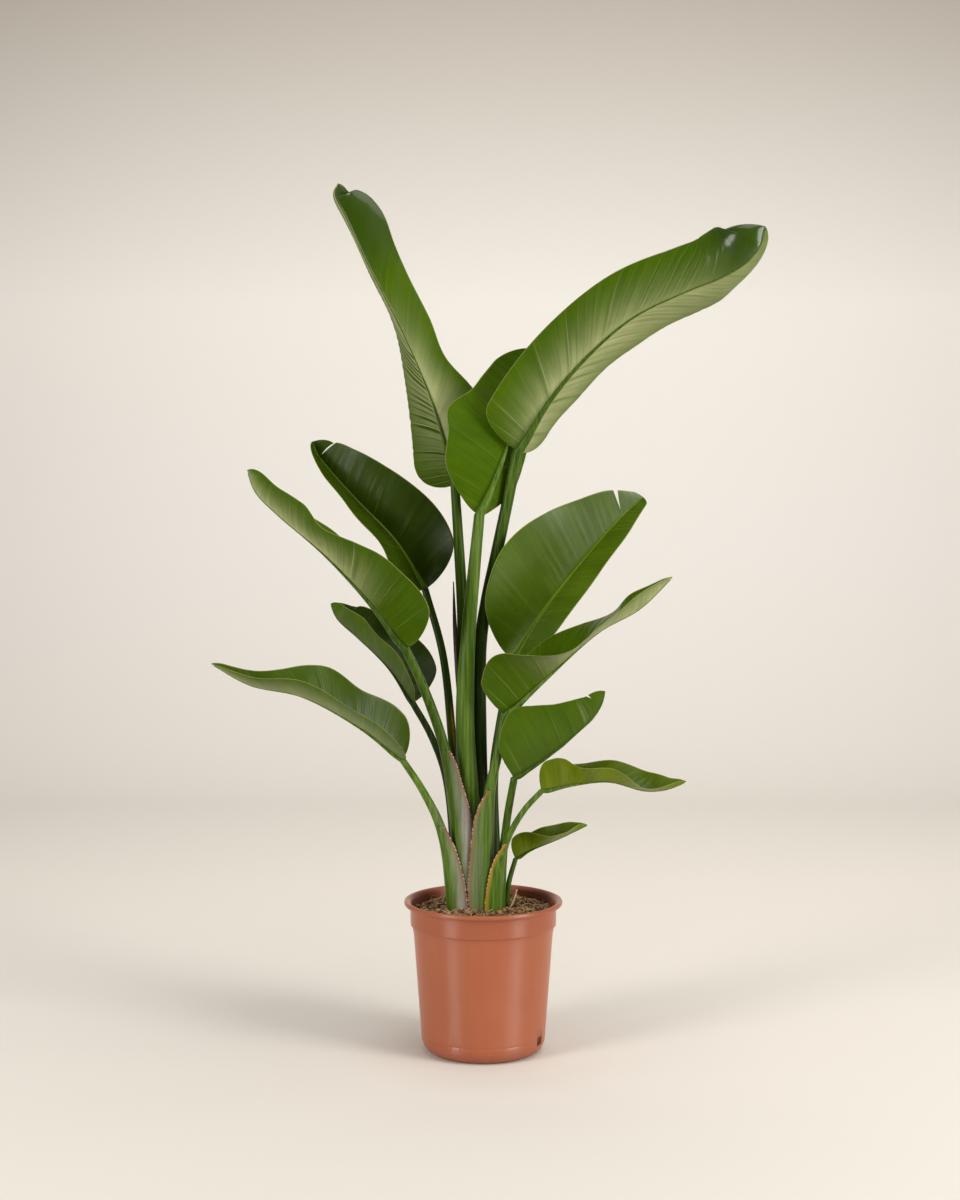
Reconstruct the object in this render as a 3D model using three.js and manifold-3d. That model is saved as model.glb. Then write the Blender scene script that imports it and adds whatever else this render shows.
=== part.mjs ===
// A potted bird of paradise: twelve leaves and one rolled young leaf, each grown as one piece from its
// sheath in the soil to its tip, standing in the peat of a tapered plastic nursery pot.
// Millimetres, +Z up. The pot's axis is Z and its underside is Z = 0; the fan of leaves faces -Y.

import * as THREE from "three";
import { mergeVertices } from "three/addons/utils/BufferGeometryUtils.js";
import Module from "manifold-3d";

const wasm = await Module();
wasm.setup();

const GAP = 0.35;              // clearance kept between pieces that touch
const TURN_STEPS = 36;         // facets round the pot and the soil

const POT = {
  height: 230,
  lipRadius: 120,
  lipHeight: 7,
  collarRadius: 111,
  collarHeight: 37,
  bodyTopRadius: 108,
  bodyFootRadius: 94,
  footRadius: 76,
  cornerWidth: 17,
  cornerHeight: 14,
  recessRadius: 58,
  recessDepth: 3,
  gateRadius: 20,
  wall: 1.8,
};
const DRAIN = { width: 16, height: 13, middle: 24, angles: [-26.5, 63.5, 153.5] };
const BLIND_SLOT = { width: 17, height: 12, middle: 20, depth: 0.8, angle: -116.5 };
const SOIL = { edge: 214, rise: 5, bump: 2 };
const BLADE_THICKNESS = 1.3;
const RIB_TIP_RADIUS = 1.2;
const NARROWEST_HALF = 4.5;    // half width of a blade at its very base and tip
const ROUNDING = [0, 0.13, 0.5, 1];   // where rows stand along a rounded end, as shares of the rounding
const LEAF_GREEN = 0x3f6b26;
const LEAF_DARK = 0x2b4f1f;
const LEAF_LIGHT = 0x67852f;

// One row per leaf, from the middle of the clump outwards. `stalk` is the axis of sheath and petiole from
// the foot in the soil, `radius` runs along it, and `midrib` carries on to the leaf tip. `face` is where the
// upper side looks, seen along the growing direction: 0 to the right, 90 to the front, 180 to the left.
// Each half of the blade stands `open` degrees off that, on the plus or the minus side, is `width` wide and
// bends by `cup` towards the upper side. Every list runs in even steps from base to tip.
const LEAVES = [
  {
    name: "leaf_front_centre", color: LEAF_GREEN, rows: 9, columns: 4,
    stalk: [[-6, 0, 190], [-9, -3, 300], [-15, -6, 400], [-20, -8, 520], [-19, -9, 640], [-12, -12, 740],
      [-6, -12, 813]],
    radius: [12, 12, 11.5, 10.5, 9.5, 9, 8],
    midrib: [[-6, -12, 813], [13, -6, 855], [31, 5, 902], [46, 18, 944], [65, 34, 994], [83, 56, 1064]],
    face: [-113], round: [0.25, 0.15],
    plus: { width: [25, 45, 45, 40, 20], open: [70, 70, 60, 50], cup: [0] },
    minus: { width: [50, 74, 82, 72, 45], open: [72], cup: [0, 0, 0, -15] },
  },
  {
    name: "leaf_tall_right", color: LEAF_GREEN, rows: 14, columns: 4,
    stalk: [[4, 21, 190], [2, 20, 300], [-2, 18, 480], [6, 18, 655], [18, 12, 745], [37, 5, 836], [52, 0, 908]],
    radius: [11, 11, 10.5, 10, 9.5, 9, 8],
    midrib: [[52, 0, 908], [98, -8, 983], [154, -20, 1048], [221, -38, 1104], [302, -60, 1142],
      [342, -71, 1157], [386, -82, 1179], [412, -84, 1208]],
    face: [-120, -117, -117, -115, -125], round: [0.08, 0.06],
    plus: { width: [50, 62, 75, 68, 54], open: [60, 58, 56, 52, 50], cup: [0, 0, 0, 10, 30] },
    minus: { width: [75, 75, 75, 74, 72, 71, 70, 73, 78], open: [60, 62, 62, 60, 50], cup: [0, 0, 0, 15, 35] },
  },
  {
    name: "leaf_tall_left", color: LEAF_GREEN, rows: 14, columns: 4,
    stalk: [[-20, 15, 190], [-24, 15, 300], [-32, 12, 420], [-31, 15, 540], [-31, 18, 655], [-36, 22, 750],
      [-43, 28, 858]],
    radius: [9, 9.5, 9.5, 9.5, 9, 8, 7],
    midrib: [[-43, 28, 858], [-72, 44, 969], [-118, 58, 1081], [-179, 66, 1201], [-211, 68, 1270],
      [-225, 62, 1299], [-220, 50, 1314]],
    face: [-80, -66, -62, -60, -70], round: [0.12, 0.08],
    plus: { width: [80, 78, 67, 44, 47, 46, 44, 38, 34], open: [75, 68, 62, 60, 60], cup: [0, 0, 10, 20, 40] },
    minus: { width: [75, 70, 50, 40, 30], open: [68, 60, 56, 41, 36, 36, 36], cup: [0] },
  },
  {
    name: "leaf_upper_left", color: LEAF_DARK, rows: 10, columns: 4,
    stalk: [[-24, 34, 190], [-32, 34, 300], [-46, 34, 455], [-62, 42, 600], [-89, 55, 698]],
    radius: [8, 8, 7, 6, 5.5],
    midrib: [[-89, 55, 698], [-134, 68, 771], [-197, 82, 837], [-237, 90, 882], [-260, 90, 917]],
    face: [70, 62, 60, 60], round: [0.16, 0.05],
    plus: { width: [60, 70, 70, 50, 20], open: [50, 42, 42, 42], cup: [0] },
    minus: { width: [72, 86, 75, 52, 35], open: [50, 50, 45, 45], cup: [0] },
    tear: { half: "minus", at: 0.93, reach: 0.025, depth: 0.5 },
  },
  {
    name: "leaf_big_right", color: LEAF_GREEN, rows: 10, columns: 4,
    stalk: [[18, 9, 190], [18, 10, 300], [16, 12, 420], [30, 16, 520], [44, 22, 594]],
    radius: [8, 8, 7.5, 7, 6.5],
    midrib: [[44, 22, 594], [85, 27, 658], [149, 38, 740], [206, 52, 804], [245, 64, 840]],
    face: [108], round: [0.18, 0.05],
    plus: { width: [57, 102, 104, 77, 40], open: [50], cup: [0] },
    minus: { width: [32, 46, 43, 38, 25], open: [63], cup: [0] },
    tear: { half: "plus", at: 0.88, reach: 0.025, depth: 0.3 },
  },
  {
    name: "leaf_mid_left", color: LEAF_GREEN, rows: 12, columns: 4,
    stalk: [[-26, -12, 190], [-30, -14, 280], [-45, -20, 400], [-62, -27, 480], [-92, -38, 565], [-115, -45, 615]],
    radius: [13, 14.5, 12.5, 9, 8, 7],
    midrib: [[-115, -45, 615], [-167, -66, 686], [-231, -92, 756], [-296, -116, 814], [-327, -124, 847],
      [-339, -124, 879]],
    face: [5, 0, 0, 0, 0, 5, 5], round: [0.12, 0.1],
    plus: { width: [75, 85, 75, 65, 35], open: [35, 38, 45, 60, 62, 48, 40], cup: [0] },
    minus: { width: [55, 75, 75, 55, 30], open: [60, 60, 58, 50, 46, 50, 50], cup: [0] },
  },
  {
    name: "leaf_lower_mid_left", color: LEAF_DARK, rows: 8, columns: 4,
    stalk: [[-39, 11, 190], [-44, 11, 300], [-58, 11, 420], [-80, 13, 480], [-107, 20, 527]],
    radius: [8, 7.5, 6, 5.5, 5],
    midrib: [[-107, 20, 527], [-144, 36, 579], [-193, 58, 624], [-226, 74, 653], [-236, 80, 675]],
    face: [30, 28, 26, 25], round: [0.15, 0.12],
    plus: { width: [40, 55, 55, 50, 30], open: [38], cup: [10, 10, 20, 20] },
    minus: { width: [50, 70, 60, 50, 30], open: [60], cup: [10, 10, 10, 30] },
    tear: { half: "minus", at: 0.9, reach: 0.025, depth: 0.3 },
  },
  {
    name: "leaf_slender_right", color: LEAF_GREEN, rows: 12, columns: 3,
    stalk: [[-3, -24, 190], [3, -25, 300], [9, -27, 400], [22, -33, 460], [32, -38, 515]],
    radius: [13.5, 14, 11, 8, 7],
    midrib: [[32, -38, 515], [88, -58, 569], [168, -83, 642], [228, -96, 678], [274, -104, 724]],
    face: [180], round: [0.1, 0.05],
    plus: { width: [42, 58, 67, 60, 50, 30, 5], open: [42, 46, 55, 60, 56, 50, 40], cup: [0] },
    minus: { width: [50, 70, 72, 60, 50, 30, 5], open: [25, 38, 62, 72, 72, 55, 40], cup: [0] },
  },
  {
    name: "leaf_cupped_right", color: LEAF_LIGHT, rows: 8, columns: 3,
    stalk: [[26, -8, 190], [29, -12, 290], [36, -26, 360], [46, -40, 421]],
    radius: [7, 7, 6, 5.5],
    midrib: [[46, -40, 421], [96, -50, 455], [143, -58, 495], [172, -60, 529], [180, -56, 553]],
    face: [-130], round: [0.12, 0.1],
    plus: { width: [20, 30, 30, 30, 20], open: [50], cup: [0] },
    minus: { width: [40, 70, 80, 70, 55, 32, 18], open: [50], cup: [0] },
    tear: { half: "minus", at: 0.92, reach: 0.03, depth: 0.5 },
  },
  {
    name: "leaf_low_left", color: LEAF_GREEN, rows: 12, columns: 3,
    stalk: [[-41, -16, 190], [-48, -19, 280], [-62, -26, 350], [-88, -35, 410], [-120, -45, 449]],
    radius: [12, 12.5, 8.5, 6, 5],
    midrib: [[-120, -45, 449], [-181, -62, 499], [-266, -86, 548], [-340, -104, 567], [-394, -116, 599]],
    face: [30, 28, 26, 25], round: [0.12, 0.05],
    plus: { width: [50, 58, 58, 52, 48, 30, 5], open: [42, 42, 42, 50], cup: [10, 10, 20, 20] },
    minus: { width: [45, 64, 62, 56, 32, 20, 5], open: [55, 55, 50, 50], cup: [10, 10, 10, 30] },
  },
  {
    name: "leaf_wavy_right", color: LEAF_LIGHT, rows: 11, columns: 3,
    stalk: [[18, -24, 190], [22, -29, 270], [36, -43, 330], [60, -53, 375], [86, -60, 405]],
    radius: [10.5, 10, 6, 5, 4.5],
    midrib: [[86, -60, 405], [135, -78, 418], [184, -94, 424], [236, -110, 413], [268, -118, 417],
      [294, -120, 428]],
    face: [180], round: [0.1, 0.05],
    plus: { width: [40, 45, 45, 42, 36, 26, 5], open: [60, 60, 58, 50, 42, 42, 40], cup: [0] },
    minus: { width: [40, 45, 45, 42, 38, 28, 5], open: [5, 10, 50, 55, 70, 72, 50], cup: [0] },
  },
  {
    name: "leaf_smallest_right", color: LEAF_LIGHT, rows: 7, columns: 3,
    stalk: [[34, 8, 190], [38, 12, 250], [49, 22, 288]],
    radius: [5, 4.5, 4],
    midrib: [[49, 22, 288], [72, 26, 301], [112, 34, 315], [160, 44, 336]],
    face: [180], round: [0.12, 0.05],
    plus: { width: [24, 30, 31, 29, 25, 18, 4], open: [60, 58, 48, 40, 40, 40, 40], cup: [0] },
    minus: { width: [26, 32, 32, 30, 26, 18, 4], open: [0, 10, 45, 65, 70, 60, 40], cup: [0] },
  },
];

// The youngest leaf, still rolled, stands in a groove of the front centre leaf's sheath.
const SPEAR = {
  name: "rolled_young_leaf", color: 0x3a2a22, steps: 12, sides: 8,
  path: [[-26, 2, 430], [-32, 3, 500], [-38, 4, 570], [-43, 6, 660], [-45, 8, 708]],
  radius: [4, 4.5, 4.5, 3.5, 0.8],
};

const STALK_SIDES = 8;
const STALK_STEP = 55;         // length of one step along a stalk or a rib
const FRONT = new THREE.Vector3(0, -1, 0);
const DEGREE = Math.PI / 180;

// Value at share s of a list that stands at even steps of 0 to 1, run through smoothly.
function keyed(list, s) {
  if (list.length === 1) return list[0];
  const last = list.length - 1;
  const at = Math.min(Math.max(s, 0) * last, last - 1e-9);
  const i = Math.floor(at);
  const f = at - i;
  const before = i > 0 ? list[i - 1] : 2 * list[0] - list[1];
  const after = i + 2 <= last ? list[i + 2] : 2 * list[last] - list[last - 1];
  const [p, q] = [list[i], list[i + 1]];
  const cubic = 3 * (p - q) + after - before;
  const square = 2 * before - 5 * p + 4 * q - after;
  return p + 0.5 * f * (q - before + f * (square + f * cubic));
}

function pathOf(points) {
  const curve = new THREE.CatmullRomCurve3(points.map((p) => new THREE.Vector3(...p)), false, "centripetal");
  curve.arcLengthDivisions = 400;
  return curve;
}

// Right-hand and front directions across a growing direction.
function axesAcross(tangent) {
  const right = new THREE.Vector3().crossVectors(tangent, FRONT).normalize();
  const front = new THREE.Vector3().crossVectors(right, tangent);
  return { right, front };
}

function toward(axes, angle) {
  return axes.right.clone().multiplyScalar(Math.cos(angle)).addScaledVector(axes.front, Math.sin(angle));
}

function geometryOf(positions, triangles) {
  const geometry = new THREE.BufferGeometry();
  geometry.setAttribute("position", new THREE.Float32BufferAttribute(positions, 3));
  geometry.setIndex(triangles);
  return geometry;
}

// Closed solid of a geometry: shared vertices merged, and triangles that merging flattened left out.
function solidOf(geometry) {
  const bare = geometry.clone();
  bare.deleteAttribute("normal");
  bare.deleteAttribute("uv");
  const merged = mergeVertices(bare, 1e-4);
  const index = Array.from(merged.index.array);
  const triangles = [];
  for (let i = 0; i < index.length; i += 3) {
    const [a, b, c] = index.slice(i, i + 3);
    if (a !== b && b !== c && c !== a) triangles.push(a, b, c);
  }
  const mesh = new wasm.Mesh({
    numProp: 3,
    vertProperties: new Float32Array(merged.attributes.position.array),
    triVerts: new Uint32Array(triangles),
  });
  return new wasm.Manifold(mesh);
}

function geometryFrom(solid) {
  const mesh = solid.getMesh();
  return geometryOf(Array.from(mesh.vertProperties), Array.from(mesh.triVerts));
}

// Round stem with a radius at each centre, closed by a fan at both ends.
function stem(centres, radii, sides) {
  const positions = [];
  const triangles = [];
  const last = centres.length - 1;
  centres.forEach((centre, i) => {
    const tangent = centres[Math.min(i + 1, last)].clone().sub(centres[Math.max(i - 1, 0)]).normalize();
    const axes = axesAcross(tangent);
    for (let k = 0; k < sides; k += 1) {
      const point = centre.clone().addScaledVector(toward(axes, (2 * Math.PI * k) / sides), radii[i]);
      positions.push(point.x, point.y, point.z);
    }
  });
  positions.push(...centres[0].toArray(), ...centres[last].toArray());
  const foot = centres.length * sides;
  for (let k = 0; k < sides; k += 1) {
    const next = (k + 1) % sides;
    for (let i = 0; i < last; i += 1) {
      const [a, b] = [i * sides + k, (i + 1) * sides + k];
      const [c, d] = [(i + 1) * sides + next, i * sides + next];
      triangles.push(a, b, c, a, c, d);
    }
    triangles.push(k, next, foot);
    triangles.push(last * sides + next, last * sides + k, foot + 1);
  }
  return geometryOf(positions, triangles);
}

// Sheath and petiole alone, thickened by `extra` all round and at the foot.
function stalk(leaf, extra = 0) {
  const path = pathOf(leaf.stalk);
  const steps = Math.ceil(path.getLength() / STALK_STEP);
  const centres = [];
  const radii = [];
  for (let i = 0; i <= steps; i += 1) {
    centres.push(path.getPointAt(i / steps));
    radii.push(keyed(leaf.radius, i / steps) + extra);
  }
  centres[0].z -= extra;
  return { centres, radii };
}

// Petiole that carries on as the rib under the blade and thins towards the tip.
function stalkAndRib(leaf) {
  const { centres, radii } = stalk(leaf);
  const path = pathOf(leaf.midrib);
  const steps = Math.ceil(path.getLength() / STALK_STEP) + 1;
  const ribRadius = radii[radii.length - 1];
  for (let i = 1; i < steps; i += 1) {
    const s = i / steps;
    const radius = Math.max(RIB_TIP_RADIUS, ribRadius * (1 - s) ** 1.3);
    const upper = toward(axesAcross(path.getTangentAt(s)), keyed(leaf.face, s) * DEGREE);
    centres.push(path.getPointAt(s).addScaledVector(upper, -0.6 * radius));
    radii.push(radius);
  }
  return stem(centres, radii, STALK_SIDES);
}

function halfWidth(leaf, half, s) {
  const [base, tip] = leaf.round;
  const a = Math.max(0, (base - s) / base);
  const b = Math.max(0, (s - 1 + tip) / tip);
  const width = keyed(half.width, s) * Math.sqrt(1 - a * a) * Math.sqrt(1 - b * b);
  const tear = leaf.tear;
  const torn = tear && leaf[tear.half] === half && Math.abs(s - tear.at) < 1e-6 ? 1 - tear.depth : 1;
  return Math.max(width * torn, NARROWEST_HALF);
}

// Shares of the midrib's length at which a blade has a row: close together where the base and the tip are
// rounded, even in between, and a set of three at a tear.
function rowsOf(leaf) {
  const [base, tip] = leaf.round;
  const even = Array.from({ length: leaf.rows - 1 }, (_, i) => base + ((i + 1) / leaf.rows) * (1 - base - tip));
  const rows = [...ROUNDING.map((share) => share * base), ...even, ...ROUNDING.map((share) => 1 - share * tip)];
  if (leaf.tear) {
    const { at, reach } = leaf.tear;
    const clear = rows.filter((s) => Math.abs(s - at) > 1.5 * reach || s === 1);
    return [...clear, at - reach, at, at + reach].sort((p, q) => p - q);
  }
  return rows.sort((p, q) => p - q);
}

// Folded blade: on each row both halves are arcs that start at the midrib, and every point stands half the
// thickness to the upper and to the under side. Both faces are split into triangles alike.
function blade(leaf) {
  const path = pathOf(leaf.midrib);
  const rows = rowsOf(leaf);
  const across = 2 * leaf.columns + 1;
  const upper = [];
  const under = [];
  for (const s of rows) {
    const middle = path.getPointAt(s);
    const axes = axesAcross(path.getTangentAt(s));
    const face = keyed(leaf.face, s) * DEGREE;
    for (let j = -leaf.columns; j <= leaf.columns; j += 1) {
      const side = j < 0 ? -1 : 1;
      const half = j < 0 ? leaf.minus : leaf.plus;
      const share = Math.abs(j) / leaf.columns;
      const open = keyed(half.open, s) * DEGREE;
      const start = face + side * open;
      const bend = -side * keyed(half.cup, s) * DEGREE || 1e-4;
      const width = halfWidth(leaf, half, s);
      const end = start + bend * share;
      const point = middle.clone()
        .addScaledVector(axes.right, (width * (Math.sin(end) - Math.sin(start))) / bend)
        .addScaledVector(axes.front, (width * (Math.cos(start) - Math.cos(end))) / bend);
      const out = j === 0 ? toward(axes, face).divideScalar(Math.max(Math.sin(open), 0.5))
        : toward(axes, end - side * 90 * DEGREE);
      upper.push(point.clone().addScaledVector(out, BLADE_THICKNESS / 2));
      under.push(point.clone().addScaledVector(out, -BLADE_THICKNESS / 2));
    }
  }
  const positions = [...upper, ...under].flatMap((p) => p.toArray());
  const below = upper.length;
  const triangles = [];
  const quad = (p, q, r, t) => triangles.push(p, q, r, p, r, t);
  for (let i = 0; i < rows.length - 1; i += 1) {
    const row = i * across;
    for (let j = 0; j < across - 1; j += 1) {
      const [a, b, c, d] = [row + j, row + across + j, row + across + j + 1, row + j + 1];
      quad(a, b, c, d);
      triangles.push(a + below, c + below, b + below, a + below, d + below, c + below);
    }
    const [e, f] = [row + across - 1, row + 2 * across - 1];
    quad(row + across, row, row + below, row + across + below);
    quad(e, f, f + below, e + below);
  }
  const top = (rows.length - 1) * across;
  for (let j = 0; j < across - 1; j += 1) {
    quad(j, j + 1, j + 1 + below, j + below);
    quad(top + j + 1, top + j, top + j + below, top + j + 1 + below);
  }
  return geometryOf(positions, triangles);
}

// Solid of revolution about Z from a profile of radius and height pairs.
function turned(profile) {
  const points = profile.map(([radius, z]) => new THREE.Vector2(radius, z));
  const geometry = new THREE.LatheGeometry(points, TURN_STEPS);
  return geometry.rotateX(Math.PI / 2);
}

function piece(name, geometry, color, roughness) {
  const material = new THREE.MeshStandardMaterial({ color, roughness, metalness: 0 });
  const mesh = new THREE.Mesh(geometry, material);
  mesh.name = name;
  return mesh;
}

// Inside wall of the pot as radius and height pairs, set in by `clear`; the soil takes the same line.
function insideProfile(clear) {
  const inset = POT.wall + clear;
  const floor = POT.recessDepth + POT.wall + clear;
  const step = POT.height - POT.collarHeight;
  return [
    [0, floor],
    [POT.footRadius - 2, floor],
    [POT.bodyFootRadius - inset - 3, POT.cornerHeight],
    [POT.bodyFootRadius - inset, 20],
    [POT.bodyTopRadius - inset, step - 2],
    [POT.collarRadius - inset, step + 1],
  ];
}

function potGeometry() {
  const corner = [1, 2, 3].map((k) => {
    const angle = (k * 28) * DEGREE;
    return [POT.footRadius + POT.cornerWidth * Math.sin(angle), POT.cornerHeight * (1 - Math.cos(angle))];
  });
  const step = POT.height - POT.collarHeight;
  const lipFoot = POT.height - POT.lipHeight;
  const outside = [
    [0, 0],
    [POT.gateRadius, 0],
    [POT.gateRadius + 2, POT.recessDepth],
    [POT.recessRadius, POT.recessDepth],
    [POT.recessRadius + 3, 0],
    [POT.footRadius, 0],
    ...corner,
    [POT.bodyFootRadius, 20],
    [POT.bodyTopRadius, step - 2],
    [POT.collarRadius - 0.5, step],
    [POT.collarRadius, lipFoot - 1],
    [POT.lipRadius - 3, lipFoot],
    [POT.lipRadius, lipFoot + 2],
    [POT.lipRadius, POT.height - 2],
    [POT.lipRadius - 2, POT.height],
    [POT.lipRadius - 6, POT.height],
    [POT.collarRadius - POT.wall, POT.height - 5],
  ];
  const shell = solidOf(turned([...outside, ...insideProfile(0).reverse()]));
  const cutters = DRAIN.angles.map((angle) => slotCutter(DRAIN, 20, POT.bodyFootRadius, angle));
  const blindAt = POT.bodyFootRadius - BLIND_SLOT.depth + 5;
  cutters.push(slotCutter(BLIND_SLOT, 10, blindAt, BLIND_SLOT.angle));
  return geometryFrom(cutters.reduce((pot, cutter) => pot.subtract(cutter), shell));
}

// Block that cuts a drain slot into the wall, centred at a radius and turned to an angle about Z.
function slotCutter(slot, reach, radius, angle) {
  const block = new THREE.BoxGeometry(reach, slot.width, slot.height);
  block.translate(radius, 0, slot.middle);
  block.rotateZ(angle * DEGREE);
  return solidOf(block);
}

// Height of the soil: heaped round the clump, with crumbs and hollows that follow a sum of sines.
function soilHeight(x, y) {
  const radius = Math.hypot(x, y) / POT.bodyTopRadius;
  const crumbs = Math.sin(0.19 * x + 1.3) * Math.sin(0.16 * y) + 0.6 * Math.sin(0.31 * y - 0.12 * x + 2);
  return SOIL.edge + SOIL.rise * (1 - radius * radius) + SOIL.bump * crumbs;
}

function soilGeometry(stalks) {
  const side = insideProfile(GAP);
  const edgeRadius = side[5][0];
  const rings = [0.9, 0.76, 0.61, 0.46, 0.31, 0.16, 0].map((share) => [share * edgeRadius, SOIL.edge]);
  const geometry = turned([...side, [edgeRadius, SOIL.edge], ...rings]);
  const position = geometry.attributes.position;
  for (let i = 0; i < position.count; i += 1) {
    if (position.getZ(i) > SOIL.edge - 1) {
      position.setZ(i, soilHeight(position.getX(i), position.getY(i)));
    }
  }
  const holes = stalks.map(({ centres, radii }) => solidOf(stem(centres, radii, STALK_SIDES)));
  return geometryFrom(holes.reduce((soil, hole) => soil.subtract(hole), solidOf(geometry)));
}

function largestBody(solid) {
  const bodies = solid.decompose();
  return bodies.reduce((best, body) => (body.volume() > best.volume() ? body : best));
}

const plant = new THREE.Group();
plant.add(piece("pot", potGeometry(), 0xb9694b, 0.45));
plant.add(piece("soil", soilGeometry(LEAVES.map((leaf) => stalk(leaf, GAP))), 0x3b2a1c, 0.95));

// The sheaths clasp one another: each one is cut back by the stalks inside it.
const spearPath = pathOf(SPEAR.path);
const spearSteps = Array.from({ length: SPEAR.steps + 1 }, (_, i) => i / SPEAR.steps);
const spear = (extra) => stem(
  spearSteps.map((s) => spearPath.getPointAt(s).add(new THREE.Vector3(0, 0, s === 0 ? -extra : 0))),
  spearSteps.map((s) => keyed(SPEAR.radius, s) + extra),
  SPEAR.sides,
);
plant.add(piece(SPEAR.name, spear(0), SPEAR.color, 0.6));

const inner = [solidOf(spear(GAP))];
for (const leaf of LEAVES) {
  const grown = solidOf(stalkAndRib(leaf)).add(solidOf(blade(leaf)));
  const clasped = inner.reduce((solid, taken) => solid.subtract(taken), grown);
  plant.add(piece(leaf.name, geometryFrom(largestBody(clasped)), leaf.color, 0.5));
  const { centres, radii } = stalk(leaf, GAP);
  inner.push(solidOf(stem(centres, radii, STALK_SIDES)));
}

export default plant;
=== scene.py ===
"""Potted bird of paradise in its terracotta-coloured nursery pot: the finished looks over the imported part.

The plant is put together as it grew: pot, soil, twelve leaves from the innermost shoot outwards, and the youngest
leaf, still rolled. Lengths in the tables are millimetres; MM turns them into metres when a mesh is made.
"""

import math

import bpy
import numpy as np
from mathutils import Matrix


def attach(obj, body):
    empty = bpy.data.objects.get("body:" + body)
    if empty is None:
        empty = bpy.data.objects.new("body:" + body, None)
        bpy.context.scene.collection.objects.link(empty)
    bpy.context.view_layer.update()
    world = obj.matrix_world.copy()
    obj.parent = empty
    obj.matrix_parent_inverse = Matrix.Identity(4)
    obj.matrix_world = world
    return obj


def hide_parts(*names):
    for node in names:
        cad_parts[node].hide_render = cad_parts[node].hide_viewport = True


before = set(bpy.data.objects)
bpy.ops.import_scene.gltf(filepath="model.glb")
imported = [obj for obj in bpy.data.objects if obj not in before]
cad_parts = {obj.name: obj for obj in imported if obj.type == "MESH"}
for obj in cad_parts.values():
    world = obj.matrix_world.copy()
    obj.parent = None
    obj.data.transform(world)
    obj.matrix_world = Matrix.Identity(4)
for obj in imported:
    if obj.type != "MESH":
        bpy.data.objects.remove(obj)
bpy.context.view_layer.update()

# Camera: stands 2.86 m in front of the pot's axis at the height of the middle leaves and looks slightly down, so the
# pot's mouth shows as a flat ellipse.
CAMERA_PLACE = (-0.005, -2.857, 0.840)
CAMERA_DROP = 3.1
LENS = 57.0
SENSOR_WIDTH = 36.0
lens_data = bpy.data.cameras.new("studio_camera")
lens_data.lens = LENS
lens_data.sensor_width = SENSOR_WIDTH
studio_camera = bpy.data.objects.new("studio_camera", lens_data)
studio_camera.location = CAMERA_PLACE
studio_camera.rotation_euler = (math.radians(90 - CAMERA_DROP), 0, 0)
bpy.context.scene.collection.objects.link(studio_camera)
bpy.context.scene.camera = studio_camera
bpy.context.scene.view_settings.view_transform = "Standard"

# Studio: one sheet of cream paper that lies on the floor and sweeps up into the wall behind. A large softbox stands at
# the right and one at the left, a light hangs over the plant, and one each lights the paper behind it and the wall;
# the room adds a faint even glow. The colour list below holds the paper's colour at shares of the way up it, with
# painted light and shade in it: painted darker on the floor at the front, lighter further back and up the bend, and
# much darker towards the top of the wall.
SWEEP_HALF_WIDTH = 6.0
SWEEP_FRONT = -5.0
SWEEP_BEND_START = 2.3
SWEEP_RADIUS = 1.4
SWEEP_TOP = 5.0
BEND_STEPS = 25
PAPER_PAINTED_LIGHT_AND_SHADE = [(0.00, (0.785, 0.745, 0.68)), (0.08, (0.89, 0.84, 0.765)), (0.20, (0.91, 0.865, 0.80)),
         (0.39, (0.915, 0.88, 0.83)), (0.64, (0.905, 0.875, 0.825)), (1.00, (0.51, 0.455, 0.395))]
PAPER_REACH = 3.58
PAPER_SLOPE = 0.2
PAPER_SHIFT = 0.2
ROOM_GLOW = 0.11


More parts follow.
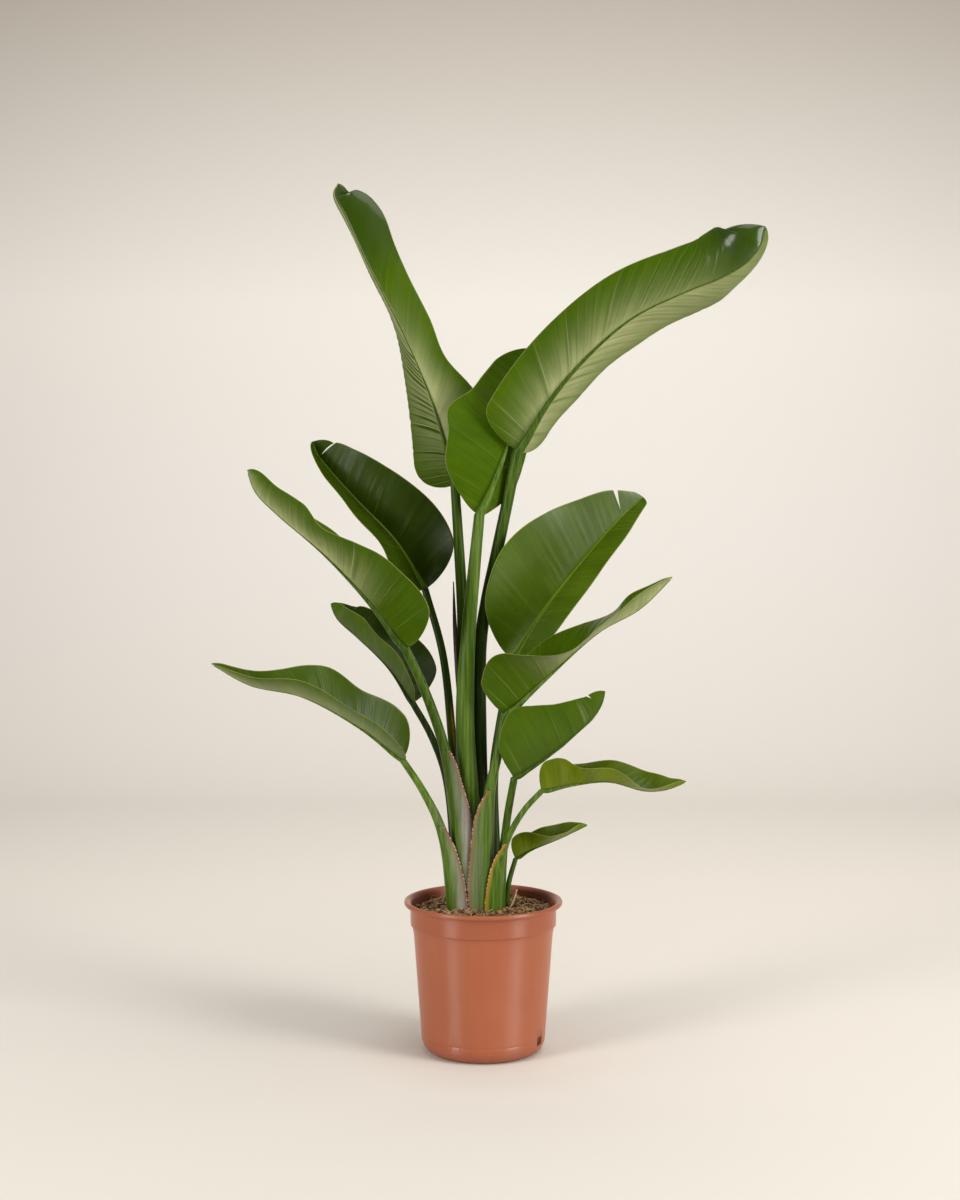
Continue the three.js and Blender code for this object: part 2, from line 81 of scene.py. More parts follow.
class Wire:
    """A socket in a finish. +, -, * and / add a Math node, with a Wire or a plain number on the right; + also takes
    a number on the left. node() adds any other node: its type, its settings, then the values or Wires that go into
    its sockets."""

    def __init__(self, tree, socket=None):
        self.tree = tree
        self.socket = socket

    def node(self, kind, settings, inputs, output=0):
        made = self.tree.nodes.new(kind)
        for setting, value in settings.items():
            if setting == "stops":
                ramp = made.color_ramp
                ramp.elements[0].position = value[0][0]
                ramp.elements[0].color = (*value[0][1], 1.0)
                ramp.elements[1].position = value[-1][0]
                ramp.elements[1].color = (*value[-1][1], 1.0)
                for position, colour in value[1:-1]:
                    ramp.elements.new(position).color = (*colour, 1.0)
            else:
                setattr(made, setting, value)
        for name, value in inputs.items():
            socket = made.inputs[name]
            if isinstance(value, Wire):
                self.tree.links.new(value.socket, socket)
            elif socket.type == "RGBA" and len(value) == 3:
                socket.default_value = (*value, 1.0)
            else:
                socket.default_value = value
        return Wire(self.tree, made.outputs[output]) if made.outputs else None

    def math(self, operation, first, second=0.0):
        return self.node("ShaderNodeMath", {"operation": operation}, {0: first, 1: second})

    def __add__(self, other):
        return self.math("ADD", self, other)

    def __radd__(self, other):
        return self.math("ADD", other, self)

    def __sub__(self, other):
        return self.math("SUBTRACT", self, other)

    def __mul__(self, other):
        return self.math("MULTIPLY", self, other)

    def __truediv__(self, other):
        return self.math("DIVIDE", self, other)

    def absolute(self):
        return self.math("ABSOLUTE", self)

    def sine(self):
        return self.math("SINE", self)

    def part(self):
        return self.math("FRACT", self)

    def step(self, low, high, start=0.0, end=1.0):
        """Smooth step: start below low, end above high."""
        limits = {"From Min": low, "From Max": high, "To Min": start, "To Max": end}
        return self.node("ShaderNodeMapRange", {"interpolation_type": "SMOOTHSTEP"}, {"Value": self, **limits})

    def between(self, low_colour, high_colour):
        """Colour that goes from one to the other as this value goes from 0 to 1."""
        settings = {"data_type": "RGBA", "clamp_factor": True}
        return self.node("ShaderNodeMix", settings, {0: self, 6: low_colour, 7: high_colour}, 2)

    def stretched(self, scale):
        return self.node("ShaderNodeMapping", {}, {"Vector": self, "Scale": scale})

    def noise(self, scale, detail, roughness=0.55):
        inputs = {"Vector": self, "Scale": scale, "Detail": detail, "Roughness": roughness}
        return self.node("ShaderNodeTexNoise", {}, inputs)

    def mark(self, name):
        """Number that the mesh holds at each point under this name."""
        return self.node("ShaderNodeAttribute", {"attribute_name": name}, {}, "Fac")

    def marks(self, names):
        """The marks of several names, which are given in one line with spaces between them."""
        return [self.mark(name) for name in names.split()]

    def bump(self, distance, strength):
        return self.node("ShaderNodeBump", {}, {"Height": self, "Distance": distance, "Strength": strength})


def start_finish(name):
    """New finish: the material, and a Wire with the place on the piece (Object coordinates)."""
    material = bpy.data.materials.new(name)
    material.use_nodes = True
    material.node_tree.nodes.clear()
    place = Wire(material.node_tree).node("ShaderNodeTexCoord", {}, {}, "Object")
    return material, place


def end_finish(place, inputs):
    """Joins a Principled surface with these socket values or Wires to the finish's output."""
    surface = place.node("ShaderNodeBsdfPrincipled", {}, inputs)
    place.node("ShaderNodeOutputMaterial", {}, {"Surface": surface})


def make_mesh(name, points, faces, finishes, patch=None, marks=None):
    """Mesh object from points (n, 3) in metres and a list of face arrays, each (m, 3) or (m, 4) corner numbers.
    patch gives each face its finish number, and marks holds named values, one a point."""
    corners = np.concatenate([f.ravel() for f in faces]).astype(np.int32)
    sizes = np.concatenate([np.full(len(f), f.shape[1]) for f in faces])
    mesh = bpy.data.meshes.new(name)
    mesh.vertices.add(len(points))
    mesh.vertices.foreach_set("co", np.ascontiguousarray(points, np.float32).ravel())
    mesh.loops.add(len(corners))
    mesh.loops.foreach_set("vertex_index", corners)
    mesh.polygons.add(len(sizes))
    mesh.polygons.foreach_set("loop_start", (np.cumsum(sizes) - sizes).astype(np.int32))
    if patch is not None:
        mesh.polygons.foreach_set("material_index", patch.astype(np.int32))
    mesh.update(calc_edges=True)
    mesh.polygons.foreach_set("use_smooth", np.ones(len(sizes), bool))
    for mark, values in (marks or {}).items():
        attribute = mesh.attributes.new(mark, "FLOAT", "POINT")
        attribute.data.foreach_set("value", np.ascontiguousarray(values, np.float32))
    for finish in finishes:
        mesh.materials.append(finish)
    mesh.validate()
    made = bpy.data.objects.new(name, mesh)
    bpy.context.scene.collection.objects.link(made)
    return made


def grid_faces(rows, columns, wrap=False):
    """Quads of a grid of points stored row by row; with wrap the last column joins the first."""
    i = np.arange(rows - 1)[:, None]
    j = np.arange(columns if wrap else columns - 1)[None, :]
    k = (j + 1) % columns
    quads = np.stack(np.broadcast_arrays(i * columns + j, (i + 1) * columns + j, (i + 1) * columns + k,
                                         i * columns + k), -1)
    return quads.reshape(-1, 4)


paper, place = start_finish("cream_paper_painted_light_and_shade")
height = place.node("ShaderNodeSeparateXYZ", {}, {"Vector": place}, "Z")
depth = place.node("ShaderNodeSeparateXYZ", {}, {"Vector": place}, "Y")
# The paper's colour runs with height and a little with depth: painted light further back on the floor, painted shade
# at the front and towards the top.
along_paper = (height + (depth + PAPER_SHIFT) * PAPER_SLOPE) / PAPER_REACH
paper_painted_light_and_shade = place.node("ShaderNodeValToRGB", {"stops": PAPER_PAINTED_LIGHT_AND_SHADE}, {"Fac": along_paper})
end_finish(place, {"Base Color": paper_painted_light_and_shade, "Roughness": 0.85, "Specular IOR Level": 0.1})
bend = np.radians(np.linspace(0, 90, BEND_STEPS))
sweep_y = np.concatenate([[SWEEP_FRONT], SWEEP_BEND_START + SWEEP_RADIUS * np.sin(bend),
                          [SWEEP_BEND_START + SWEEP_RADIUS]])
sweep_z = np.concatenate([[0.0], SWEEP_RADIUS * (1 - np.cos(bend)), [SWEEP_TOP]])
sweep_x = np.tile([-SWEEP_HALF_WIDTH, SWEEP_HALF_WIDTH], len(sweep_y))
sweep_points = np.stack([sweep_x, np.repeat(sweep_y, 2), np.repeat(sweep_z, 2)], -1)
sweep = make_mesh("paper_sweep", sweep_points, [grid_faces(len(sweep_y), 2)[:, ::-1]], [paper])


def soft_light(name, place, aim, width, height, power, colour):
    """Rectangular studio light at place, turned to face aim."""
    data = bpy.data.lights.new(name, "AREA")
    data.shape = "RECTANGLE"
    data.size = width
    data.size_y = height
    data.energy = power
    data.color = colour
    lamp = bpy.data.objects.new(name, data)
    ahead = np.array(aim, float) - np.array(place, float)
    flat = math.hypot(ahead[0], ahead[1])
    lamp.location = place
    lamp.rotation_euler = (math.atan2(flat, -ahead[2]), 0, math.atan2(-ahead[0], ahead[1]))
    bpy.context.scene.collection.objects.link(lamp)


soft_light("right_softbox", (2.7, -1.75, 1.3), (0, 0, 0.5), 1.2, 2.2, 92.0, (1.0, 0.98, 0.95))
soft_light("left_softbox", (-2.4, -1.95, 1.2), (0, 0, 0.5), 1.0, 2.0, 66.0, (1.0, 0.98, 0.96))
soft_light("top_light", (0.6, -0.6, 3.4), (0, 0, 0.6), 2.4, 2.4, 50.0, (1.0, 0.98, 0.95))
soft_light("paper_light", (0.2, 1.0, 2.6), (0.2, 2.6, 0.0), 3.6, 0.8, 16.0, (1.0, 0.99, 0.98))
soft_light("wall_light", (0.2, 1.9, 2.9), (0.2, 3.7, 0.6), 4.4, 0.8, 12.0, (1.0, 0.99, 0.98))
room = bpy.data.worlds.new("room_glow")
room.use_nodes = True
room.node_tree.nodes["Background"].inputs["Color"].default_value = (1.0, 0.97, 0.93, 1.0)
room.node_tree.nodes["Background"].inputs["Strength"].default_value = ROOM_GLOW
bpy.context.scene.world = room

# Nursery pot: thin polypropylene, injection moulded in one piece, with a rolled lip, a collar band, a tapered body
# and a raised bottom. Three drain slots go through the foot of the wall and one is left blind by the mould.
MM = 0.001
POT_CLAY = (0.360, 0.098, 0.040)
POT_PALE = (0.425, 0.135, 0.065)
# Painted shade: the next colour darkens the foot and the collar band up to the lip.
POT_PAINTED_SHADE = (0.250, 0.060, 0.028)
POT_SCUFF = (0.52, 0.27, 0.19)
POT_FLOOR = 4.8
POT_OUTSIDE = [
    (20, 0), (20.4, 2.6), (22, 3), (57.5, 3), (60.6, 2.6), (61, 0.4), (61.8, 0), (75, 0), (79, 0.4), (83, 1.8),
    (86.6, 4.2), (89.6, 7.6), (91.6, 11.2), (92.9, 14.4), (93.6, 17.5), (94.1, 21), (94.5, 25.6), (94.25, 25.9),
    (94.5, 26.3), (94.8, 30.5), (96.2, 50), (97.8, 72), (99.4, 94), (101, 116), (102.6, 138), (104.2, 160),
    (105.8, 180), (107.6, 189.6), (107.9, 191), (108.3, 191.9), (109.8, 192.6), (110.4, 193.4), (110.5, 194.6),
    (110.7, 208), (111, 221.2), (111.4, 222.4), (113, 222.9), (117, 223.1), (119, 223.7), (119.9, 224.9),
    (120, 226.6), (119.9, 228.2), (119.3, 229.3), (118, 229.9), (116, 230), (114, 229.6), (112, 228.2),
    (110.2, 226), (109.3, 223),
]
POT_INSIDE = [
    (109.2, 196), (108.6, 194), (106.2, 190.6), (104.4, 180), (99.5, 110), (93.1, 30.5), (92.2, 20), (91.9, 17.5),
    (89.2, 13), (82, 8), (74, 5.2), (60, POT_FLOOR), (30, POT_FLOOR),
]
SLOT_ANGLES = (-26.5, 63.5, 153.5)
BLIND_SLOT_ANGLE = -116.5
SLOT_HALF_ANGLE = 4.9
SLOT_LOW = 17.5
SLOT_HIGH = 30.5
SLOT_RADIUS = 90.0
BLIND_DEPTH = 0.8
BLIND_SLOPE = 0.3
BLIND_RADIUS = 93.7
BLIND_TOP = 30.0
POT_TURNS = 144
TURN_CLEARANCE = 0.6


def tube_faces(rows, columns):
    """Quads of a tube of rings, the fan that closes its first ring and the fan that closes its last. The fans'
    poles are the two points that follow the rings."""
    ring = np.arange(columns)
    after = np.roll(ring, -1)
    pole = rows * columns
    first_fan = np.stack([np.full(columns, pole), ring, after], -1)
    last_fan = np.stack([np.full(columns, pole + 1), pole - columns + after, pole - columns + ring], -1)
    return [grid_faces(rows, columns, wrap=True), first_fan, last_fan]


pot_plastic, place = start_finish("nursery_pot_plastic")
cloudy = place.noise(9.0, 3.0).step(0.35, 0.7)
drawn = place.stretched((60.0, 60.0, 4.0)).noise(1.0, 2.0).step(0.4, 0.75)
scuffs = place.stretched((1.0, 1.0, 2.4)).noise(38.0, 5.0, 0.7).step(0.66, 0.78)
height = place.node("ShaderNodeSeparateXYZ", {}, {"Vector": place}, "Z")
# Painted shade: the clay is painted darker below 30 mm at the foot and from about 190 mm up, over the collar band and
# the lip.
painted_shade_at_foot_and_lip = height.step(0.004, 0.03, 1.0, 0.0) + height.step(0.182, 0.194, 0.0, 0.55)
clay = (cloudy * 0.35 + drawn * 0.15).between(POT_CLAY, POT_PALE)
clay = (painted_shade_at_foot_and_lip * 0.45).between(clay, POT_PAINTED_SHADE)
clay = (scuffs * 0.22).between(clay, POT_SCUFF)
grain = place.noise(1400.0, 2.0)
end_finish(place, {
    "Base Color": clay,
    "Roughness": 0.36 + cloudy * 0.06 + scuffs * 0.10,
    "Normal": grain.bump(0.0002, 0.2),
    "Specular IOR Level": 0.5,
    "Anisotropic": 0.88,
    "Anisotropic Rotation": 0.25,
})

outside = np.array(POT_OUTSIDE, float)
inside = np.array(POT_INSIDE, float)
profile = np.concatenate([outside, inside])
slot_sides = np.array([-SLOT_HALF_ANGLE, SLOT_HALF_ANGLE])
slot_edges = (np.array([*SLOT_ANGLES, BLIND_SLOT_ANGLE])[:, None] + slot_sides).ravel()
step_edges = BLIND_SLOT_ANGLE + slot_sides + [BLIND_SLOPE, -BLIND_SLOPE]
turns = np.arange(POT_TURNS) * (360 / POT_TURNS) - 180
near_edge = np.abs(turns[:, None] - np.concatenate([slot_edges, step_edges])[None, :]).min(1) < TURN_CLEARANCE
turns = np.sort(np.concatenate([turns[~near_edge], slot_edges, step_edges]))
middle_turns = (turns + np.roll(turns, -1) + np.where(np.roll(turns, -1) < turns, 360, 0)) / 2
ring = np.radians(turns)
radius = np.broadcast_to(profile[:, :1], (len(profile), len(turns))).copy()
level = np.broadcast_to(profile[:, 1:], radius.shape)
in_blind = (np.abs(turns - BLIND_SLOT_ANGLE) < SLOT_HALF_ANGLE - 0.1)[None, :]
on_wall = (np.arange(len(profile)) < len(outside)) & (profile[:, 0] > BLIND_RADIUS) & (profile[:, 1] < BLIND_TOP)
radius = np.where(in_blind & on_wall[:, None], radius - BLIND_DEPTH, radius)
pot_points = np.stack([radius * np.cos(ring), radius * np.sin(ring), level], -1).reshape(-1, 3)
rows, columns = radius.shape
quads, lower_fan, upper_fan = tube_faces(rows, columns)
row_of = np.repeat(np.arange(rows - 1), columns)
turn_of = np.tile(middle_turns, rows - 1)
in_slot = np.min([np.abs(turn_of - a) for a in SLOT_ANGLES], 0) < SLOT_HALF_ANGLE
mid_level = (profile[:-1, 1] + profile[1:, 1])[row_of] / 2
mid_radius = (profile[:-1, 0] + profile[1:, 0])[row_of] / 2
cut = in_slot & (mid_level > SLOT_LOW) & (mid_level < SLOT_HIGH) & (mid_radius > SLOT_RADIUS)
quads = quads[~cut]
out_low, in_low = np.flatnonzero(profile[:, 1] == SLOT_LOW)[:2]
out_high, in_high = np.flatnonzero(profile[:, 1] == SLOT_HIGH)[:2]
slot_walls = []
for angle in SLOT_ANGLES:
    left = int(np.argmin(np.abs(turns - (angle - SLOT_HALF_ANGLE))))
    right = int(np.argmin(np.abs(turns - (angle + SLOT_HALF_ANGLE))))
    across = np.arange(left, right)
    low_out, low_in = out_low * columns + across, in_low * columns + across
    high_out, high_in = out_high * columns + across, in_high * columns + across
    slot_walls.append(np.stack([low_out, low_out + 1, low_in + 1, low_in], -1))
    slot_walls.append(np.stack([high_out, high_in, high_in + 1, high_out + 1], -1))
    outer = np.arange(out_low, out_high + 1)
    inner = np.round(np.linspace(in_low, in_high, len(outer))).astype(int)
    for turn, order in ((left, 1), (right, -1)):
        pairs = np.stack([outer[:-1] * columns + turn, inner[:-1] * columns + turn,
                          inner[1:] * columns + turn, outer[1:] * columns + turn], -1)
        slot_walls.append(pairs[:, ::order])
walls = np.concatenate(slot_walls)
whole = np.array([len(set(q)) == 4 for q in walls.tolist()])
thin = np.array([[*dict.fromkeys(q)] for q in walls[~whole].tolist()], int).reshape(-1, 3)
pot_points = np.concatenate([pot_points, [[0, 0, 0], [0, 0, POT_FLOOR]]])
pot_faces = [quads[:, ::-1], walls[whole], thin, lower_fan[:, ::-1], upper_fan[:, ::-1]]
pot = make_mesh("nursery_pot", pot_points * MM, pot_faces, [pot_plastic])
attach(pot, "root")
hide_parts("pot")

# Soil: dark peat with coconut and bark fibre, pressed in round the stems to just under the lip, with an olive patch
# of moss at the left. Crumbs, fibres and chips lie loose on top, and one splinter of wood stands up from it.
SOIL_EDGE = 214.0
SOIL_RISE = 5.0
SOIL_BUMP = 2.0
SOIL_RADIUS = 107.0
SOIL_ROWS = 70
SOIL_TURNS = 200
SOIL_SIDE = [(106.2, 205), (105.0, 190), (99.3, 110), (93.0, 30), (92.0, 18), (88, 13), (74, 5.6)]
DOME_RADIUS = 108.0
RIPPLE_GRID = 64
MOSS_PLACE = (-82.0, -18.0)
PEAT_DARK = (0.036, 0.018, 0.007)
PEAT = (0.150, 0.080, 0.034)
PEAT_PALE = (0.42, 0.26, 0.13)
CRUMB_DARK = (0.060, 0.030, 0.012)
CRUMB_PALE = (0.36, 0.20, 0.085)
COIR_DARK = (0.30, 0.165, 0.070)
COIR_PALE = (0.72, 0.50, 0.28)
WOOD_DARK = (0.45, 0.26, 0.13)
WOOD_PALE = (0.80, 0.56, 0.34)
MOSS = (0.075, 0.072, 0.012)
CRUMBS = 1500
FIBRES = 1100
FIBRE_RINGS = 5
FIBRE_SIDES = 3
CHIPS = 70
CHIP_PLACES = [(12.0, -82.0, 9.0, 2.4), (92.0, -34.0, 8.0, 2.0), (22.0, -96.0, 7.0, 1.8), (-50.0, -84.0, 8.0, 2.2)]
SPLINTER_START = (37.0, -6.0, 214.0)
SPLINTER_END = (50.0, -9.0, 247.0)
SPLINTER_HALF = 2.2
SPLINTER_TAPER = 0.3
SPLINTER_RINGS = 13
SPLINTER_SIDES = 8
chance = np.random.default_rng(7)


def soil_height(x, y):
    """Low dome with soft bumps, in mm: rise falls with the square of the distance from the middle."""
    dome = SOIL_EDGE + SOIL_RISE * (1 - (x * x + y * y) / DOME_RADIUS**2)
    waves = np.sin(0.19 * x + 1.3) * np.sin(0.16 * y) + 0.6 * np.sin(0.31 * y - 0.12 * x + 2)
    return dome + SOIL_BUMP * waves


def ripple(x, y, length, seed):
    """Even noise from -1 to 1 in numpy: random heights on a square grid, read between them with a soft step."""
    heights = np.random.default_rng(seed).uniform(-1, 1, (RIPPLE_GRID, RIPPLE_GRID))
    u, v = x / length, y / length
    i, j = np.floor(u).astype(int), np.floor(v).astype(int)
    f, g = u - i, v - j
    f, g = f * f * (3 - 2 * f), g * g * (3 - 2 * g)
    i, j, right, behind = i % RIPPLE_GRID, j % RIPPLE_GRID, (i + 1) % RIPPLE_GRID, (j + 1) % RIPPLE_GRID
    a, b, c, d = heights[i, j], heights[right, j], heights[i, behind], heights[right, behind]
    return (a * (1 - f) + b * f) * (1 - g) + (c * (1 - f) + d * f) * g


peat, place = start_finish("peat_soil")
grit = place.noise(420.0, 6.0, 0.7)
lumps = place.noise(130.0, 4.0, 0.6)
flecks = place.noise(900.0, 3.0, 0.6).step(0.60, 0.70)
earth = grit.step(0.35, 0.62).between(PEAT_DARK, PEAT)
earth = (flecks * 0.6).between(earth, PEAT_PALE)
split = place.node("ShaderNodeVectorMath", {"operation": "DISTANCE"},
                   {0: place.stretched((1.0, 1.0, 0.0)), 1: (MOSS_PLACE[0] * MM, MOSS_PLACE[1] * MM, 0.0)}, "Value")
mossy = split.step(0.012, 0.034, 1.0, 0.0) * lumps.step(0.35, 0.6)
earth = mossy.between(earth, MOSS)
end_finish(place, {
    "Base Color": earth,
    "Roughness": 0.92,
    "Normal": (grit * 0.6 + lumps * 0.4).bump(0.002, 0.9),
    "Specular IOR Level": 0.2,
})
shares = np.linspace(0, 1, SOIL_ROWS)[1:] ** 0.85
soil_ring = np.radians(np.arange(SOIL_TURNS) * (360 / SOIL_TURNS))
soil_r = SOIL_RADIUS * shares[:, None]
soil_x, soil_y = soil_r * np.cos(soil_ring), soil_r * np.sin(soil_ring)
soil_z = soil_height(soil_x, soil_y) + 0.9 * ripple(soil_x, soil_y, 4.2, 1) + 0.7 * ripple(soil_x, soil_y, 2.1, 2)
side = np.array(SOIL_SIDE)
side_x, side_y = side[:, :1] * np.cos(soil_ring), side[:, :1] * np.sin(soil_ring)
soil_points = np.concatenate([
    np.stack([soil_x, soil_y, soil_z], -1).reshape(-1, 3),
    np.stack([side_x, side_y, np.broadcast_to(side[:, 1:], side_x.shape)], -1).reshape(-1, 3),
    [[0, 0, soil_height(0.0, 0.0)], [0, 0, side[-1, 1]]],
])
soil_faces = tube_faces(len(shares) + len(side), SOIL_TURNS)
soil = make_mesh("potting_soil", soil_points * MM, soil_faces, [peat])
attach(soil, "root")
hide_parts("soil")


def scattered(count, reach):
    """Even random places within reach of the middle, in mm."""
    turn = chance.uniform(0, 2 * np.pi, count)
    out = reach * np.sqrt(chance.uniform(0, 1, count))
    return out * np.cos(turn), out * np.sin(turn)


crumb_peat, place = start_finish("peat_crumbs")
shade = place.noise(160.0, 2.0).step(0.35, 0.65)
end_finish(place, {
    "Base Color": shade.between(CRUMB_DARK, CRUMB_PALE),
    "Roughness": 0.9,
    "Normal": place.noise(1500.0, 3.0).bump(0.0006, 0.8),
    "Specular IOR Level": 0.2,
})
golden = (1 + 5**0.5) / 2
crumb_corners = np.array([(-1, golden, 0), (1, golden, 0), (-1, -golden, 0), (1, -golden, 0), (0, -1, golden),
                          (0, 1, golden), (0, -1, -golden), (0, 1, -golden), (golden, 0, -1), (golden, 0, 1),
                          (-golden, 0, -1), (-golden, 0, 1)]) / 1.9
crumb_sides = np.array([(0, 11, 5), (0, 5, 1), (0, 1, 7), (0, 7, 10), (0, 10, 11), (1, 5, 9), (5, 11, 4),
                        (11, 10, 2), (10, 7, 6), (7, 1, 8), (3, 9, 4), (3, 4, 2), (3, 2, 6), (3, 6, 8), (3, 8, 9),
                        (4, 9, 5), (2, 4, 11), (6, 2, 10), (8, 6, 7), (9, 8, 1)])
crumb_x, crumb_y = scattered(CRUMBS, 104.0)
crumb_size = chance.uniform(0.8, 1.9, CRUMBS) + 2.4 * chance.uniform(0, 1, CRUMBS) ** 6
stretch = chance.uniform(0.6, 1.4, (CRUMBS, 1, 3)) * chance.uniform(0.8, 1.2, (CRUMBS, len(crumb_corners), 1))
crumb_points = crumb_corners[None] * stretch * crumb_size[:, None, None]
crumb_points += np.stack([crumb_x, crumb_y, soil_height(crumb_x, crumb_y) + 0.5 * crumb_size], -1)[:, None]
crumb_faces = crumb_sides[None] + len(crumb_corners) * np.arange(CRUMBS)[:, None, None]
crumbs = make_mesh("soil_crumbs", crumb_points.reshape(-1, 3) * MM, [crumb_faces.reshape(-1, 3)], [crumb_peat])
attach(crumbs, "root")

fibre_peat, place = start_finish("coir_fibre")
shade = place.noise(90.0, 3.0).step(0.35, 0.65)
end_finish(place, {
    "Base Color": shade.between(COIR_DARK, COIR_PALE),
    "Roughness": 0.8,
    "Normal": place.noise(2600.0, 2.0).bump(0.0003, 0.6),
    "Specular IOR Level": 0.3,
})
fibre_x, fibre_y = scattered(FIBRES, 101.0)
fibre_turn = chance.uniform(0, 2 * np.pi, FIBRES)
fibre_length = chance.uniform(3.0, 9.0, FIBRES) + 12.0 * chance.uniform(0, 1, FIBRES) ** 8
fibre_bend = chance.uniform(-1.3, 1.3, FIBRES)
fibre_lift = chance.uniform(-0.05, 0.45, FIBRES)
along = np.linspace(-0.5, 0.5, FIBRE_RINGS)[None, :]
heading = fibre_turn[:, None] + fibre_bend[:, None] * along
fibre_px = fibre_x[:, None] + np.cos(heading) * along * fibre_length[:, None]
fibre_py = fibre_y[:, None] + np.sin(heading) * along * fibre_length[:, None]
fibre_pz = soil_height(fibre_px, fibre_py) + 1.5 + fibre_lift[:, None] * (along + 0.3) * fibre_length[:, None]
fibre_pz += 0.6 * chance.uniform(-1, 1, (FIBRES, 1))
thick = chance.uniform(0.28, 0.62, (FIBRES, 1, 1))
corner = np.radians([90, 210, 330])[None, None, :]
off_side, off_up = thick * np.cos(corner), thick * np.sin(corner)
fibre_points = np.stack([
    fibre_px[..., None] - np.sin(heading)[..., None] * off_side,
    fibre_py[..., None] + np.cos(heading)[..., None] * off_side,
    fibre_pz[..., None] + off_up,
], -1)
fibre_corners = FIBRE_RINGS * FIBRE_SIDES
fibre_quads = grid_faces(FIBRE_RINGS, FIBRE_SIDES, wrap=True)
fibre_ends = np.array([(0, 1, 2), (fibre_corners - 1, fibre_corners - 2, fibre_corners - 3)])
offsets = fibre_corners * np.arange(FIBRES)[:, None, None]
fibres = make_mesh("soil_fibres", fibre_points.reshape(-1, 3) * MM,
                   [(fibre_quads[None] + offsets).reshape(-1, 4)[:, ::-1],
                    (fibre_ends[None] + offsets).reshape(-1, 3)[:, ::-1]], [fibre_peat])
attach(fibres, "root")

chip_wood, place = start_finish("wood_chips")
grainy = place.noise(240.0, 4.0, 0.7).step(0.3, 0.7)
end_finish(place, {
    "Base Color": grainy.between(WOOD_DARK, WOOD_PALE),
    "Roughness": 0.75,
    "Normal": grainy.bump(0.0005, 0.5),
    "Specular IOR Level": 0.3,
})
chip_x, chip_y = scattered(CHIPS, 98.0)
chip_long = chance.uniform(2.5, 6.5, CHIPS)
chip_wide = chance.uniform(0.8, 2.2, CHIPS)
placed = slice(len(CHIP_PLACES))
chip_x[placed], chip_y[placed], chip_long[placed], chip_wide[placed] = np.array(CHIP_PLACES).T
chip_turn = chance.uniform(0, np.pi, CHIPS)
chip_tilt = chance.uniform(-0.35, 0.35, CHIPS)
cube = np.array([(x, y, z) for z in (-0.5, 0.5) for y in (-0.5, 0.5) for x in (-0.5, 0, 0.5)])
chip_shape = cube[None] * np.stack([chip_long, chip_wide, np.full(CHIPS, 0.7)], -1)[:, None]
chip_shape[..., 1] *= 1 - 0.35 * chance.uniform(0, 1, (CHIPS, len(cube)))
chip_shape[..., 2] += chip_shape[..., 0] * chip_tilt[:, None] - 0.02 * chip_shape[..., 0] ** 2
turned_x = chip_shape[..., 0] * np.cos(chip_turn)[:, None] - chip_shape[..., 1] * np.sin(chip_turn)[:, None]
turned_y = chip_shape[..., 0] * np.sin(chip_turn)[:, None] + chip_shape[..., 1] * np.cos(chip_turn)[:, None]
chip_points = np.stack([turned_x + chip_x[:, None], turned_y + chip_y[:, None],
                        chip_shape[..., 2] + (soil_height(chip_x, chip_y) + 1.8)[:, None]], -1)
chip_sides = np.array([(0, 3, 4, 1), (1, 4, 5, 2), (6, 7, 10, 9), (7, 8, 11, 10), (0, 1, 7, 6), (1, 2, 8, 7),
                       (3, 9, 10, 4), (4, 10, 11, 5), (0, 6, 9, 3), (2, 5, 11, 8)])
chip_faces = (chip_sides[None] + len(cube) * np.arange(CHIPS)[:, None, None]).reshape(-1, 4)

splinter_f = np.linspace(0, 1, SPLINTER_RINGS)
splinter_turn = np.radians(np.arange(SPLINTER_SIDES) * (360 / SPLINTER_SIDES))
splinter_middle = np.array(SPLINTER_START) + splinter_f[:, None] * (np.array(SPLINTER_END) - np.array(SPLINTER_START))
splinter_middle[:, 0] += 2.0 * np.sin(np.pi * splinter_f)
splinter_taper = SPLINTER_HALF * (1 - SPLINTER_TAPER * splinter_f)
splinter_r = splinter_taper[:, None] * (1 + 0.18 * np.sin(3 * splinter_turn + 1.0))[None, :]
splinter_points = splinter_middle[:, None] + np.stack([
    splinter_r * np.cos(splinter_turn), splinter_r * np.sin(splinter_turn), np.zeros_like(splinter_r)], -1)
splinter_faces = [faces[:, ::-1] for faces in tube_faces(SPLINTER_RINGS, SPLINTER_SIDES)]
splinter_points = np.concatenate([splinter_points.reshape(-1, 3), splinter_middle[:1], splinter_middle[-1:]])
splinter = make_mesh("wood_splinter", splinter_points * MM, splinter_faces, [chip_wood])
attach(splinter, "root")
chips = make_mesh("soil_chips", chip_points.reshape(-1, 3) * MM, [chip_faces], [chip_wood])
chips.data.polygons.foreach_set("use_smooth", np.zeros(len(chips.data.polygons), bool))
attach(chips, "root")
